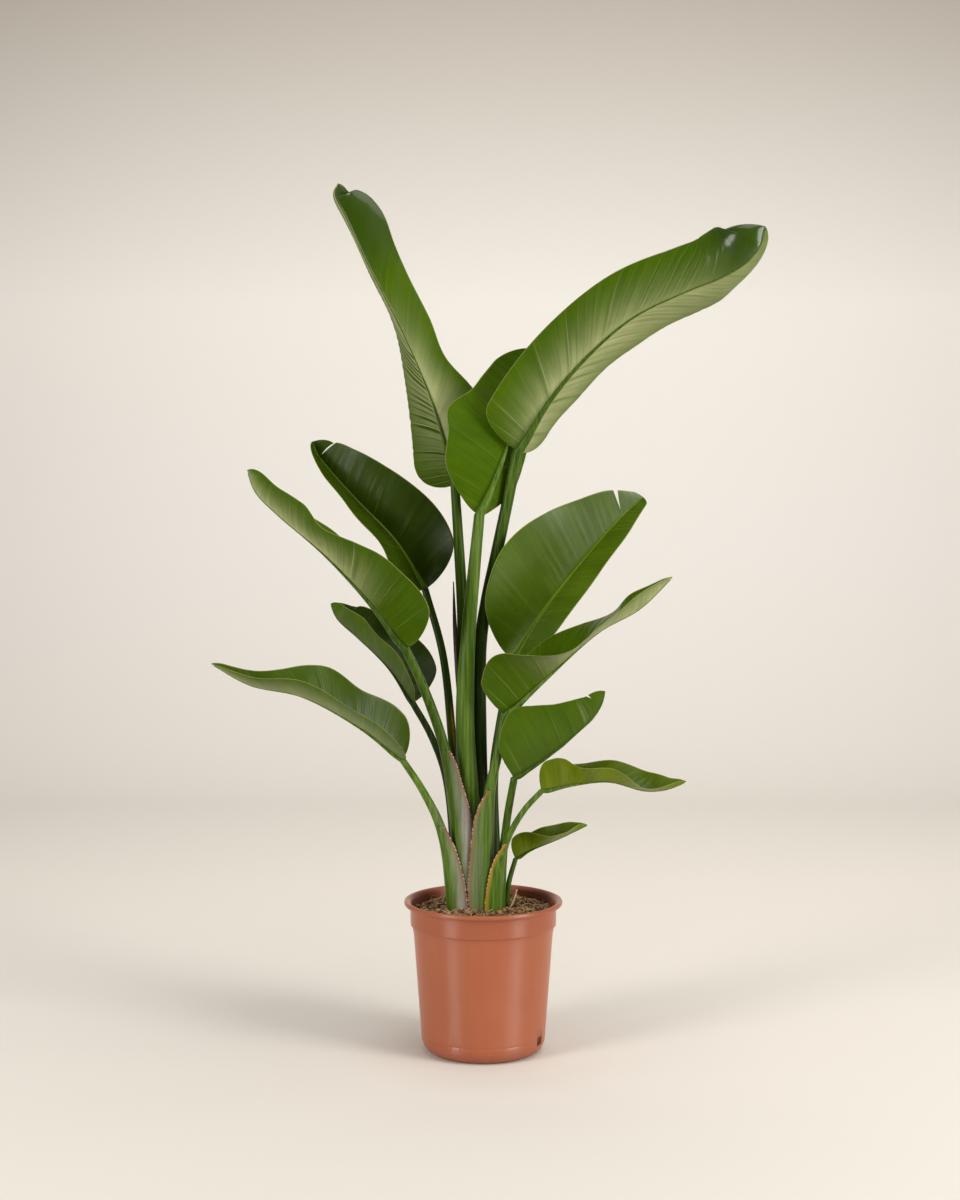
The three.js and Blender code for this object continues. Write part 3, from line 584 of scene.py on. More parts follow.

# Leaves: each grew as one piece, a sheath at its foot, a long petiole that carries on as the rib, and a blade folded
# along it. The upper side is dark and glossy, the underside matt with a grey bloom beside the rib; side veins leave
# the rib at a slant and pleat the blade, and a thin pale line runs along its margin.

# Keys of a leaf, angles in degrees, lists in even steps from base to tip, pairs for the halves plus and minus:
# stalk, radius: path and radii of the petiole; midrib: path of the rib; rib: share of its radius that shrinks fast
# face: angle round the growing direction at which the upper side looks out
# width, open, cup: width of a half, angle from face to its start, and how far it curls in
# round: shares of the length that are rounded at base and tip; slant: how far the side veins slant
# wave: mm, number and shift of the margin's waves; tear: half, share, reach and depth of a notch
# veins: mm between side veins; pleat: depth of the folds between them; lines: how plainly they show
# bloom: grey wax; fall: how fast it thins outwards; gloss: bare shiny skin, also painted darker as painted shade
# kind: slot and tone of the blade; tone: tone where it isn't the kind's; stem: tone of the petiole; shade: painted
# shade, how dark
# seam: angle, low and high end of a line on the petiole; sheath: free margin of its flap as x and height
# skin: how brown that margin is, wax on the flap, wax on the petiole
LEAVES = [
    {
        "name": "leaf_front_centre", "kind": "leaf",
        "stalk": [(-6, 0, 190), (-12, -3, 300), (-21, -6, 400), (-27, -8, 480), (-27, -9, 550), (-22, -10, 640),
                  (-13, -12, 740), (-6, -12, 813)],
        "radius": [13, 13.5, 14, 14.5, 13.5, 11, 9.5, 8],
        "midrib": [(-6, -12, 813), (13, -6, 855), (31, 5, 902), (46, 18, 944), (65, 34, 994), (83, 56, 1064)],
        "face": [-113], "round": (0.25, 0.15), "slant": 0.12, "bloom": ([0], [0]), "wave": (1.5, 2.0, 0.3),
        "rib": 0.30, "lines": ([0.3], [0.25]), "stem": "bright",
        "plus": {"width": [25, 45, 45, 40, 20], "open": [70, 70, 60, 50]},
        "minus": {"width": [50, 74, 84, 92, 103, 82, 73, 60, 45], "open": [72], "cup": [0, 0, 0, -15]},
    },
    {
        "name": "leaf_tall_right", "kind": "leaf",
        "stalk": [(4, 21, 190), (0, 20, 300), (-5, 19, 480), (-4, 18, 620), (6, 15, 688), (18, 12, 745), (37, 5, 836),
                  (52, 0, 908)],
        "radius": [11, 11, 10.5, 10, 9.5, 9, 8],
        "midrib": [(52, 0, 908), (98, -8, 983), (154, -20, 1048), (221, -38, 1104), (302, -60, 1142),
                   (344, -71, 1158), (381, -80, 1180), (400, -84, 1204), (408, -80, 1231)],
        "face": [-120, -117, -117, -115, -125], "round": (0.08, 0.025), "slant": 0.16,
        "bloom": ([1, 1, 1, 0.8, 0.3], [0.2, 0.95, 0.8, 0.55, 0.2, 0]), "fall": (0.5, 2.5), "wave": (1.6, 4.0, 1.0),
        "rib": 0.45, "lines": ([0.8, 0.8, 0.7, 0.3], [0.8, 0.8, 0.8, 0.4]),
        "gloss": ([0, 0, 0, 0, 0.2], [0, 0, 0, 0, 0, 0, 0, 1, 1]),
        "stem": "plain", "shade": [0.9, 0.9, 0.9, 0.8, 0.2, 0],
        "plus": {"width": [50, 62, 75, 68, 46], "open": [60, 58, 56, 54, 56, 68, 84], "cup": [0, 0, 0, 0, 12, 45, 95]},
        "minus": {"width": [75, 75, 75, 74, 72, 70, 70, 76, 68], "open": [60, 62, 62, 62, 62, 72, 86],
                  "cup": [0, 0, 0, 0, 15, 55, 105]},
    },
    {
        "name": "leaf_tall_left", "kind": "leaf",
        "stalk": [(-20, 15, 190), (-24, 15, 300), (-32, 12, 420), (-31, 15, 540), (-31, 18, 655), (-36, 22, 750),
                  (-43, 28, 858)],
        "radius": [9, 9.5, 9.5, 9.5, 9, 8, 7],
        "midrib": [(-43, 28, 858), (-72, 44, 969), (-118, 58, 1081), (-179, 66, 1201), (-211, 68, 1270),
                   (-225, 62, 1299), (-220, 50, 1314)],
        "face": [-80, -66, -62, -60, -70], "round": (0.12, 0.11), "slant": 0.16,
        "bloom": ([1, 1, 0.9, 0.3, 0, 0, 0], [0, 0.8, 1, 1]), "fall": (1.8, 0.7), "wave": (1.0, 4.0, 2.0),
        "rib": 0.75, "lines": ([0.25, 0.15, 0.1], [2.2, 2.4, 1.8, 0.6]), "veins": (17, 10),
        "gloss": ([0, 0, 0, 0, 0, 0, 0.1, 0.8, 1, 1], [0]),
        "stem": "plain", "shade": [0.7, 0.7, 0.6, 0.2, 0, 0],
        "plus": {"width": [80, 78, 67, 44, 47, 47, 52, 56, 34], "open": [75, 68, 62, 60, 60, 68, 80],
                 "cup": [0, 0, 0, 10, 20, 40, 75]},
        "minus": {"width": [75, 76, 53, 38, 12], "open": [68, 60, 56, 41, 36, 36, 36]},
    },
    {
        "name": "leaf_upper_left", "kind": "leaf_dark",
        "stalk": [(-24, 34, 190), (-32, 34, 300), (-46, 34, 455), (-62, 42, 600), (-89, 55, 698)],
        "radius": [8, 8, 7, 6, 5.5],
        "midrib": [(-89, 55, 698), (-134, 68, 771), (-197, 82, 837), (-238, 90, 882), (-258, 92, 908),
                   (-264, 91, 926)],
        "face": [70, 62, 60, 60], "round": (0.16, 0.03), "slant": 0.1,
        "bloom": ([0.5, 1, 0.8], [0.3]), "wave": (1.2, 3.0, 0.0),
        "rib": 0.45, "lines": ([0.5], [0.6]), "stem": "plain", "shade": [0.2, 0.2, 0.3, 0.5, 0.8, 0.9],
        "seam": (60, 425, 545), "skin": (1.0, 0.0, 0.0),
        "plus": {"width": [60, 70, 70, 50, 20], "open": [50, 42, 42, 42]},
        "minus": {"width": [72, 84, 78, 60, 26], "open": [50, 50, 45, 45]},
        "tear": ("minus", 0.905, 0.014, 0.85),
        "pleat": 0.3,
    },
    {
        "name": "leaf_big_right", "kind": "leaf",
        "stalk": [(18, 9, 190), (18, 10, 300), (16, 12, 420), (30, 16, 520), (44, 22, 594)],
        "radius": [8, 8, 7.5, 7, 6.5],
        "midrib": [(44, 22, 594), (85, 27, 658), (149, 38, 740), (206, 52, 804), (245, 64, 840)],
        "face": [108], "round": (0.18, 0.025), "slant": 0.1, "bloom": ([1], [0.8]), "wave": (1.3, 3.0, 0.6),
        "rib": 0.45, "lines": ([0.5], [0.5]), "stem": "plain", "shade": [0.6, 0.6, 0.5, 0.3, 0.5],
        "plus": {"width": [57, 84, 106, 116, 113, 97, 74, 50, 10], "open": [50]},
        "minus": {"width": [32, 46, 43, 36, 15], "open": [63]},
        "tear": ("plus", 0.86, 0.012, 0.8),
        "pleat": 0.4,
    },
    {
        "name": "leaf_mid_left", "kind": "leaf",
        "stalk": [(-26, -12, 190), (-30, -14, 280), (-45, -20, 400), (-62, -27, 480), (-92, -38, 565),
                  (-115, -45, 615)],
        "radius": [13, 14.5, 12.5, 9, 8, 7],
        "midrib": [(-115, -45, 615), (-167, -66, 686), (-231, -92, 756), (-296, -116, 814), (-327, -124, 847),
                   (-339, -124, 879)],
        "face": [5, 0, 0, 0, 0, 5, 5], "round": (0.12, 0.1), "slant": 0.14,
        "bloom": ([0, 0, 0.8, 1, 0.9, 0.6], [0.3, 0.5, 0.9, 1, 1]), "fall": (2.4, 1.1), "wave": (2.2, 3.5, 0.8),
        "sheath": [(-52, 462), (-45, 457), (-39, 440), (-32, 414), (-24, 387), (-17, 360), (-13, 335),
                   (-12, 300), (-14, 212)],
        "skin": (0.0, 1.0, 1.0),
        "rib": 0.30, "lines": ([0.3, 0.8, 0.6, 0.3], [0.3]), "stem": "plain",
        "plus": {"width": [60, 82, 89, 88, 64, 38, 49, 45, 34], "open": [35, 36, 38, 44, 46, 44, 42, 40, 40],
                 "cup": [0, 0, 10, 0]},
        "minus": {"width": [50, 66, 64, 58, 52, 46, 40, 34, 26], "open": [60, 60, 58, 54, 50, 50, 50]},
    },
    {
        "name": "leaf_lower_mid_left", "kind": "leaf_dark",
        "stalk": [(-39, 11, 190), (-44, 11, 300), (-58, 11, 420), (-80, 13, 480), (-107, 20, 527)],
        "radius": [8, 7.5, 6, 5.5, 5],
        "midrib": [(-107, 20, 527), (-144, 36, 579), (-193, 58, 624), (-226, 74, 653), (-236, 80, 675)],
        "face": [30, 28, 26, 25], "round": (0.15, 0.12), "slant": 0.1, "bloom": ([0], [0]), "wave": (1.6, 3.0, 2.0),
        "pleat": 0.5, "rib": 0.45, "lines": ([0.6], [0.6]), "stem": "dark",
        "plus": {"width": [40, 55, 55, 50, 30], "open": [38], "cup": [10, 10, 20, 20]},
        "minus": {"width": [50, 70, 60, 50, 30], "open": [60], "cup": [10, 10, 10, 30]},
        "tear": ("minus", 0.82, 0.014, 0.25),
    },
    {
        "name": "leaf_slender_right", "kind": "leaf",
        "stalk": [(-3, -24, 190), (3, -25, 300), (9, -27, 400), (22, -33, 460), (32, -38, 515)],
        "radius": [13.5, 14, 11, 8, 7],
        "midrib": [(32, -38, 515), (88, -58, 569), (168, -83, 642), (228, -96, 678), (274, -104, 724)],
        "face": [180], "round": (0.06, 0.05), "slant": 0.12,
        "bloom": ([0.1, 0.8, 1, 1], [0, 0, 0.6, 1, 1, 1]), "fall": (0.4, 0.5), "wave": (1.6, 3.0, 1.2),
        "sheath": [(6, 402), (-3, 388), (-8, 377), (-15, 355), (-18, 329), (-21, 302), (-23, 264), (-24, 246),
                   (-21, 212)],
        "skin": (0.35, 0.3, 0.6),
        "rib": 0.45, "lines": ([0.4], [0.7]), "stem": "bright",
        "plus": {"width": [42, 58, 67, 60, 50, 30, 5], "open": [42, 46, 55, 70, 76, 45, 40]},
        "minus": {"width": [56, 86, 84, 60, 50, 30, 5], "open": [20, 24, 54, 82, 75, 50, 40]},
    },
    {
        "name": "leaf_cupped_right", "kind": "leaf_light", "tone": "leaf",
        "stalk": [(26, -8, 190), (29, -12, 290), (36, -26, 360), (46, -40, 421)],
        "radius": [7, 7, 6, 5.5],
        "midrib": [(46, -40, 421), (96, -50, 455), (143, -58, 495), (172, -60, 529), (180, -56, 553)],
        "face": [-130], "round": (0.05, 0.08), "slant": 0.12, "bloom": ([0.1], [0.05]), "wave": (0.8, 3.0, 0.4),
        "rib": 0.45, "lines": ([0.3], [0.35]), "stem": "plain",
        "plus": {"width": [20, 30, 30, 30, 20], "open": [50]},
        "minus": {"width": [45, 78, 88, 72, 51, 34, 18], "open": [60, 54, 50, 50, 50]},
        "tear": ("minus", 0.88, 0.016, 0.35),
    },
    {
        "name": "leaf_low_left", "kind": "leaf",
        "stalk": [(-41, -16, 190), (-49, -19, 280), (-66, -26, 350), (-93, -35, 406), (-120, -45, 449)],
        "radius": [12, 12.5, 8.5, 6, 5],
        "midrib": [(-120, -45, 449), (-181, -62, 499), (-266, -86, 548), (-340, -104, 567), (-394, -116, 599)],
        "face": [30, 28, 26, 25], "round": (0.12, 0.05), "slant": 0.12,
        "bloom": ([0.3, 0.6, 0.8], [0.1]), "wave": (1.6, 3.0, 0.5),
        "sheath": [(-60, 347), (-52, 340), (-51, 334), (-42, 316), (-35, 294), (-30, 274), (-27, 261), (-25, 242),
                   (-20, 212)],
        "skin": (0.1, 0.9, 0.8),
        "pleat": 0.5, "rib": 0.40, "lines": ([0.3], [0.25]), "stem": "bright", "gloss": ([0], [0.4, 0.3, 0.1, 0, 0]),
        "plus": {"width": [50, 58, 58, 52, 48, 30, 5], "open": [42, 42, 42, 50], "cup": [10, 10, 20, 20]},
        "minus": {"width": [45, 58, 50, 57, 34, 20, 5], "open": [55, 55, 50, 50], "cup": [10, 10, 10, 30]},
    },
    {
        "name": "leaf_wavy_right", "kind": "leaf_light",
        "stalk": [(18, -24, 190), (22, -29, 270), (36, -43, 330), (60, -53, 375), (86, -60, 405)],
        "radius": [10.5, 10, 6, 5, 4.5],
        "midrib": [(86, -60, 405), (135, -78, 418), (184, -94, 424), (236, -110, 413), (268, -118, 417),
                   (294, -120, 428)],
        "face": [180], "round": (0.1, 0.05), "slant": 0.12, "bloom": ([0.1], [0.1]), "wave": (1.0, 3.0, 1.0),
        "sheath": [(30, 324), (23, 312), (17, 302), (10, 284), (5, 260), (2, 240), (1, 212)],
        "skin": (1.0, 0.0, 0.0),
        "rib": 0.40, "lines": ([0.3], [0.4]), "stem": "bright",
        "plus": {"width": [40, 45, 45, 42, 36, 26, 5], "open": [60, 60, 58, 50, 42, 42, 40]},
        "minus": {"width": [40, 45, 45, 42, 38, 28, 5], "open": [5, 10, 50, 55, 70, 72, 50]},
    },
    {
        "name": "leaf_smallest_right", "kind": "leaf_light",
        "stalk": [(34, 8, 190), (38, 12, 250), (49, 22, 288)],
        "radius": [5, 4.5, 4],
        "midrib": [(49, 22, 288), (72, 26, 301), (112, 34, 315), (160, 44, 336)],
        "face": [180], "round": (0.12, 0.05), "slant": 0.12, "bloom": ([0.1], [0.1]), "wave": (0.7, 3.0, 1.0),
        "rib": 0.40, "lines": ([0.25], [0.25]), "stem": "plain",
        "plus": {"width": [24, 30, 31, 29, 25, 18, 4], "open": [60, 58, 48, 40, 40, 40, 40]},
        "minus": {"width": [26, 32, 32, 30, 26, 18, 4], "open": [0, 10, 45, 65, 70, 60, 40]},
    },
]
BLADE_THICKNESS = 1.2
MARGIN_THICKNESS = 0.45
HALF_COLUMNS = 26
ROW_STEP = 2.1
VEIN_STEP = (17.0, 17.0)
VEIN_CURVE = 0.8
PLEAT = 1.1
RIB_TIP_RADIUS = 0.8
GLOSS_AND_PAINTED_SHADE = ([0], [0])
BLOOM_FALL = (1.1, 1.1)
STEM_SIDES = 28
STEM_STEP = 7.0
SEAM_END = 45.0
SEAM_SOFT = 2.5
SEAM_FADE = 6.0
NO_EDGE = 30.0
TEAR_ROWS = 13
RIB_SINK = 0.6
CHANNEL_DEPTH = 0.24
CHANNEL_HALF_ANGLE = 0.5
CLEARANCE = 0.5
SHEATH_ROWS = 70
SHEATH_COLUMNS = 26
EASE_RADIUS = 22.0
FAR_BEHIND = 60.0
WAX_TOP = 400.0
WAX_FADE = 110.0


def keyed(values, s):
    """Smooth run through values that stand at even steps of 0 to 1 (uniform Catmull-Rom)."""
    v = np.array(values, float)
    if len(v) == 1:
        return np.full(np.shape(s), v[0])
    padded = np.concatenate([[2 * v[0] - v[1]], v, [2 * v[-1] - v[-2]]])
    at = np.clip(s, 0, 1) * (len(v) - 1)
    i = np.minimum(at.astype(int), len(v) - 2)
    f = at - i
    before, p, q, behind = padded[i], padded[i + 1], padded[i + 2], padded[i + 3]
    cubic = 3 * (p - q) + behind - before
    square = 2 * before - 5 * p + 4 * q - behind
    return p + 0.5 * f * (q - before + f * (square + f * cubic))


def grown_path(points):
    """Smooth path through points (centripetal Catmull-Rom), as places, directions and the share of its length at
    2000 even steps, and its length."""
    p = np.array(points, float)
    p = np.concatenate([[2 * p[0] - p[1]], p, [2 * p[-1] - p[-2]]])
    pieces = []
    f = np.linspace(0, 1, 161)[:-1, None]
    for a, b, c, d in zip(p[:-3], p[1:-2], p[2:-1], p[3:]):
        ab, bc, cd = [np.linalg.norm(q - o) ** 0.5 for o, q in ((a, b), (b, c), (c, d))]
        start = ((b - a) / ab - (c - a) / (ab + bc) + (c - b) / bc) * bc
        end = ((c - b) / bc - (d - b) / (bc + cd) + (d - c) / cd) * bc
        square = 3 * (c - b) - 2 * start - end
        cubic = 2 * (b - c) + start + end
        pieces.append(b + f * (start + f * (square + f * cubic)))
    fine = np.concatenate([*pieces, p[-2:-1]])
    run = np.concatenate([[0], np.cumsum(np.linalg.norm(np.diff(fine, axis=0), axis=1))])
    share = np.linspace(0, 1, 2000)
    places = np.stack([np.interp(share * run[-1], run, fine[:, k]) for k in range(3)], -1)
    heading = np.gradient(places, axis=0)
    heading /= np.linalg.norm(heading, axis=1)[:, None]
    return share, places, heading, run[-1]


def along_path(path, s):
    """Place and growing direction at shares s of a path's length."""
    share, places, heading, _ = path
    point = np.stack([np.interp(s, share, places[:, k]) for k in range(3)], -1)
    tangent = np.stack([np.interp(s, share, heading[:, k]) for k in range(3)], -1)
    return point, tangent / np.linalg.norm(tangent, axis=-1)[..., None]


def axes_across(tangent):
    """Right-hand and front directions across a growing direction."""
    right = np.cross(tangent, np.array([0.0, -1.0, 0.0]))
    right /= np.linalg.norm(right, axis=-1)[..., None]
    return right, np.cross(right, tangent)


def toward(right, front, angle):
    """Direction that stands at this angle from right, turned to front."""
    return right * np.cos(angle)[..., None] + front * np.sin(angle)[..., None]


def rib_radius(leaf, s):
    """Radius of the rib: part of it shrinks fast past the base, the rest as (1 - s)^1.6 towards the tip."""
    shrink = leaf["rib"] * np.exp(-s / 0.09) + (1 - leaf["rib"]) * (1 - s) ** 1.6
    return np.maximum(RIB_TIP_RADIUS, leaf["radius"][-1] * shrink)


def stem_shape(leaf):
    """Petiole and rib as one tube: rings across the path, round with a shallow channel on the upper side, which
    fades as the petiole passes into the rib; under the blade the ring's middle sinks 0.6 radius below it."""
    stalk_path, rib_path = grown_path(leaf["stalk"]), grown_path(leaf["midrib"])
    stalk_s = np.linspace(0, 1, int(stalk_path[3] / STEM_STEP) + 1)
    rib_s = np.linspace(0, 0.985, int(rib_path[3] / STEM_STEP) + 1)[1:]
    low, low_heading = along_path(stalk_path, stalk_s)
    high, high_heading = along_path(rib_path, rib_s)
    low_radius = keyed(leaf["radius"], stalk_s)
    high_radius = rib_radius(leaf, rib_s)
    middle = np.concatenate([low, high])
    heading = np.concatenate([low_heading, high_heading])
    radius = np.concatenate([low_radius, high_radius])
    face = np.radians(np.concatenate([np.full(len(stalk_s), float(leaf["face"][0])), keyed(leaf["face"], rib_s)]))
    right, front = axes_across(heading)
    sink = np.concatenate([np.zeros(len(stalk_s)), RIB_SINK * high_radius * np.clip(rib_s / 0.06, 0, 1)])
    middle = middle - toward(right, front, face) * sink[:, None]
    turn = np.linspace(0, 2 * np.pi, STEM_SIDES, endpoint=False)
    channel = np.concatenate([np.clip((stalk_s - 0.25) / 0.3, 0, 1), np.clip(1 - rib_s / 0.1, 0, 1)])
    from_face = np.minimum(turn, 2 * np.pi - turn)[None, :]
    dent = 1 - CHANNEL_DEPTH * channel[:, None] * np.exp(-((from_face / CHANNEL_HALF_ANGLE) ** 2))
    angle = face[:, None] + turn[None, :]
    points = middle[:, None] + toward(right[:, None], front[:, None], angle) * (radius[:, None] * dent)[..., None]
    return points, middle, radius, len(stalk_s)


def seam_distance(leaf, points, radius):
    """Distance round the stem from the closed seam of its own sheath, radius times angle in mm, plus SEAM_SOFT and,
    at the seam's two ends, where it fades out, up to SEAM_FADE; NO_EDGE where none shows."""
    angle, low, high = leaf.get("seam", (0, 0, 0))
    turn = np.linspace(0, 2 * np.pi, STEM_SIDES, endpoint=False) + math.radians(leaf["face"][0] - angle)
    round_stem = np.abs((turn + np.pi) % (2 * np.pi) - np.pi)[None, :] * radius[:, None]
    level = points[..., 2]
    fading = 1 - np.clip(np.minimum(level - low, high - level) / SEAM_END, 0, 1)
    return np.where((level > low) & (level < high), round_stem + SEAM_SOFT + SEAM_FADE * fading, NO_EDGE)


def blade_shape(leaf):
    """Middle surface of the blade. A row is one side vein: it leaves the rib at share r, close along it, and reaches
    s = r + 4 slant r (1 - r) |t|^0.8 at t of the half's width. Each half is an arc that starts at the fold, and
    pleats between the veins and slow waves at the margin move the points along the upper side's direction. A tear
    shortens the rows near its share to a notch, and their slant with them."""
    path = grown_path(leaf["midrib"])
    length = path[3]
    count = int(length / ROW_STEP)
    even = np.linspace(0, 1, count)
    row = 0.55 * even + 0.45 * (0.5 - 0.5 * np.cos(np.pi * even))
    tear = leaf.get("tear")
    if tear:
        torn_half, at, reach, depth = tear
        beyond = row[np.abs(row - at) > reach * 1.05]
        row = np.sort(np.concatenate([beyond, at + reach * np.linspace(-1, 1, TEAR_ROWS)]))
    t = np.concatenate([-np.linspace(1, 0, HALF_COLUMNS + 1) ** 0.9, np.linspace(0, 1, HALF_COLUMNS + 1)[1:] ** 0.9])
    r, t = np.meshgrid(row, t, indexing="ij")
    out = np.abs(t)
    left_over = np.ones_like(r)
    if tear:
        torn = (t > 0) == (torn_half == "plus")
        left_over = np.where(torn, 1 - depth * np.clip(1 - np.abs(r - at) / reach, 0, 1), 1.0)
    s = r + 4 * leaf["slant"] * r * (1 - r) * (out * left_over) ** VEIN_CURVE
    point, heading = along_path(path, s)
    right, front = axes_across(heading)
    face = np.radians(keyed(leaf["face"], s))
    base, tip = leaf["round"]
    a = np.clip((base - s) / base, 0, 1)
    b = np.clip((s - 1 + tip) / tip, 0, 1)
    rounding = np.sqrt(np.clip(1 - a * a, 0, 1)) * np.sqrt(np.clip(1 - b * b, 0, 1))
    surface, upper, width = np.zeros_like(point), np.zeros_like(point), np.zeros_like(s)
    for sign, half in ((1, "plus"), (-1, "minus")):
        shape = leaf[half]
        mine = (t > 0) if sign > 0 else (t <= 0)
        wide = np.maximum(keyed(shape["width"], s) * rounding, 1.6) * left_over
        start = face + sign * np.radians(keyed(shape["open"], s))
        curl = -sign * np.radians(keyed(shape.get("cup", [0]), s))
        curl = np.where(np.abs(curl) < 1e-4, 1e-4, curl)
        sideways = wide * (np.sin(start + curl * out) - np.sin(start)) / curl
        forward = wide * (np.cos(start) - np.cos(start + curl * out)) / curl
        here = point + right * sideways[..., None] + front * forward[..., None]
        surface = np.where(mine[..., None], here, surface)
        width = np.where(mine, wide, width)
        normal = toward(right, front, start + curl * out - sign * np.pi / 2)
        upper = np.where(mine[..., None], normal, upper)
    middle = HALF_COLUMNS
    upper[:, middle] = toward(right[:, middle], front[:, middle], face[:, middle])
    side = np.where(t > 0, 1.0, 0.0)
    spacing = np.where(t > 0, *leaf.get("veins", VEIN_STEP))
    vein = r * length / spacing + 0.42 * side + 0.30 * np.sin(r * 23.0 + 2.1 * side) + 0.16 * np.sin(r * 57.0 + side)
    strength = np.random.default_rng(11).uniform(0.15, 1.0, 200)[np.round(vein).astype(int) % 200]
    phase = 2 * np.pi * vein
    pleat = np.cos(phase) + 0.35 * np.sin(2 * phase + 0.9)
    fade = np.clip(out / 0.12, 0, 1) * (1 - 0.75 * np.clip((out - 0.45) / 0.45, 0, 1)) * np.clip(width / 30, 0, 1)
    fade = fade * np.clip((0.97 - s) / 0.15, 0, 1)
    plain = np.where(t > 0, keyed(leaf["lines"][0], s), keyed(leaf["lines"][1], s)) * fade * strength
    bloom = np.where(t > 0, keyed(leaf["bloom"][0], s), keyed(leaf["bloom"][1], s))
    bloom = bloom * np.clip(1.05 - out, 0, 1) ** np.where(t > 0, *leaf.get("fall", BLOOM_FALL))
    # The gloss mark also carries painted shade: the finishes paint the blade darker where it is.
    gloss = np.where(t > 0, keyed(leaf.get("gloss", GLOSS_AND_PAINTED_SHADE)[0], s), keyed(leaf.get("gloss", GLOSS_AND_PAINTED_SHADE)[1], s))
    plain = plain * (1 - np.clip(gloss, 0, 1))
    marks = {
        "vein": vein, "lines": plain, "bloom": np.clip(bloom, 0, 1), "gloss": np.clip(gloss, 0, 1),
        "edge": (1 - out) * width, "rib": out * width / rib_radius(leaf, s), "span": out * width,
    }
    amount, waves, shift = leaf["wave"]
    wave = amount * out**2 * np.sin(2 * np.pi * waves * s + shift * 3 + side * 2.2) * np.clip(width / 30, 0, 1)
    slope = np.gradient(surface, axis=0)
    spread = np.gradient(surface, axis=1)
    normal = np.cross(slope, spread)
    normal /= np.maximum(np.linalg.norm(normal, axis=-1), 1e-9)[..., None]
    agree = (normal * upper).sum(-1)
    normal = np.where((agree > 0.3)[..., None], normal, upper)
    near = np.clip(1 - out * HALF_COLUMNS / 1.5, 0, 1)[..., None]
    normal = normal * (1 - near) + upper * near
    normal /= np.linalg.norm(normal, axis=-1)[..., None]
    surface = surface + normal * (leaf.get("pleat", PLEAT) * plain * pleat + wave)[..., None]
    return surface, normal, out, marks


def closed_sheet(surface, normal, thickness):
    """Both faces of a sheet and the strips that close its rim: points, quads of the upper face, the lower face and
    the rim."""
    rows, columns = surface.shape[:2]
    half = 0.5 * thickness[..., None]
    points = np.concatenate([(surface + normal * half).reshape(-1, 3), (surface - normal * half).reshape(-1, 3)])
    top = grid_faces(rows, columns)
    under = rows * columns
    rim = np.concatenate([
        np.arange(columns), np.arange(1, rows) * columns + columns - 1,
        (rows - 1) * columns + np.arange(columns - 2, -1, -1), np.arange(rows - 2, 0, -1) * columns,
    ])
    after = np.roll(rim, -1)
    strip = np.stack([rim, after, after + under, rim + under], -1)
    return points, top, top[:, ::-1] + under, strip


def clear_of(points, others):
    """Moves points out of the round stems of inner leaves, to rest CLEARANCE off their skin."""
    flat = points.reshape(-1, 3).copy()
    for middles, radii in others:
        gap = np.linalg.norm(flat[:, None] - middles[None], axis=-1)
        nearest = gap.argmin(1)
        away = flat - middles[nearest]
        distance = gap[np.arange(len(flat)), nearest]
        wanted = radii[nearest] + CLEARANCE
        push = distance < wanted
        scale = np.where(push, wanted / np.maximum(distance, 1e-6), 1.0)
        flat = middles[nearest] + away * scale[:, None] if push.any() else flat
    return flat.reshape(points.shape)


def sheath_shape(leaf, stems, layer):
    """Free edge of a sheath: a thin sheet that rises from the front of its own stem and wraps the stems inside it, up
    to the margin. At each height its front is the foremost of the stems, eased by a parabola 22 mm in radius:
    y(x) = least over x' of front(x') + (x - x')^2 / (2 * 22)."""
    margin = np.array(leaf["sheath"], float)[::-1]
    z = np.linspace(margin[0, 1], margin[-1, 1], SHEATH_ROWS)
    x_margin = np.interp(z, margin[:, 1], margin[:, 0])
    x_margin = np.convolve(np.pad(x_margin, 3, mode="edge"), np.full(7, 1 / 7), mode="valid")
    fine = np.linspace(-90, 70, 241)
    front = np.full((len(z), len(fine)), FAR_BEHIND)
    for middles, radii in stems:
        rise = np.gradient(middles[:, 2]) / np.linalg.norm(np.gradient(middles, axis=0), axis=1)
        cx, cy = np.interp(z, middles[:, 2], middles[:, 0]), np.interp(z, middles[:, 2], middles[:, 1])
        wide = np.interp(z, middles[:, 2], radii / rise)
        inside = wide[:, None] ** 2 - (fine[None, :] - cx[:, None]) ** 2
        front = np.minimum(front, np.where(inside > 0, cy[:, None] - np.sqrt(np.maximum(inside, 0)), FAR_BEHIND))
    eased = (front[:, None, :] + (fine[None, :, None] - fine[None, None, :]) ** 2 / (2 * EASE_RADIUS)).min(-1)
    middles, radii = stems[-1]
    own_x, own_r = np.interp(z, middles[:, 2], middles[:, 0]), np.interp(z, middles[:, 2], radii)
    side = np.sign(margin[0, 0] - own_x[0])
    x_start = own_x - side * 0.55 * own_r
    f = np.linspace(0, 1, SHEATH_COLUMNS)
    x = x_start[:, None] + f[None, :] * (x_margin - x_start)[:, None]
    y = np.stack([np.interp(row, fine, line) for row, line in zip(x, eased)])
    lift = -0.7 + (1.6 + 0.8 * layer) * np.clip(f / 0.35, 0, 1)
    y = y - lift[None, :] + 0.25 * np.sin(z / 9)[:, None] * f[None, :] ** 2
    sheet = np.stack([x, y, np.broadcast_to(z[:, None], x.shape)], -1)
    normal = np.cross(np.gradient(sheet, axis=0), np.gradient(sheet, axis=1))
    normal /= np.linalg.norm(normal, axis=-1)[..., None]
    if normal[..., 1].mean() > 0:
        sheet, normal, f = sheet[:, ::-1], -normal[:, ::-1], f[::-1]
        x = x[:, ::-1]
    edge = np.abs(x - x_margin[:, None])
    wax = np.clip((margin[-1, 1] + 5 - z) / 95, 0, 1)[:, None] * np.clip((f - 0.15) / 0.4, 0, 1)[None, :]
    return sheet, normal, edge, wax


RIB_GREEN = (0.120, 0.195, 0.012)
MARGIN_CREAM = (0.30, 0.32, 0.09)
FINE_LINES = 5


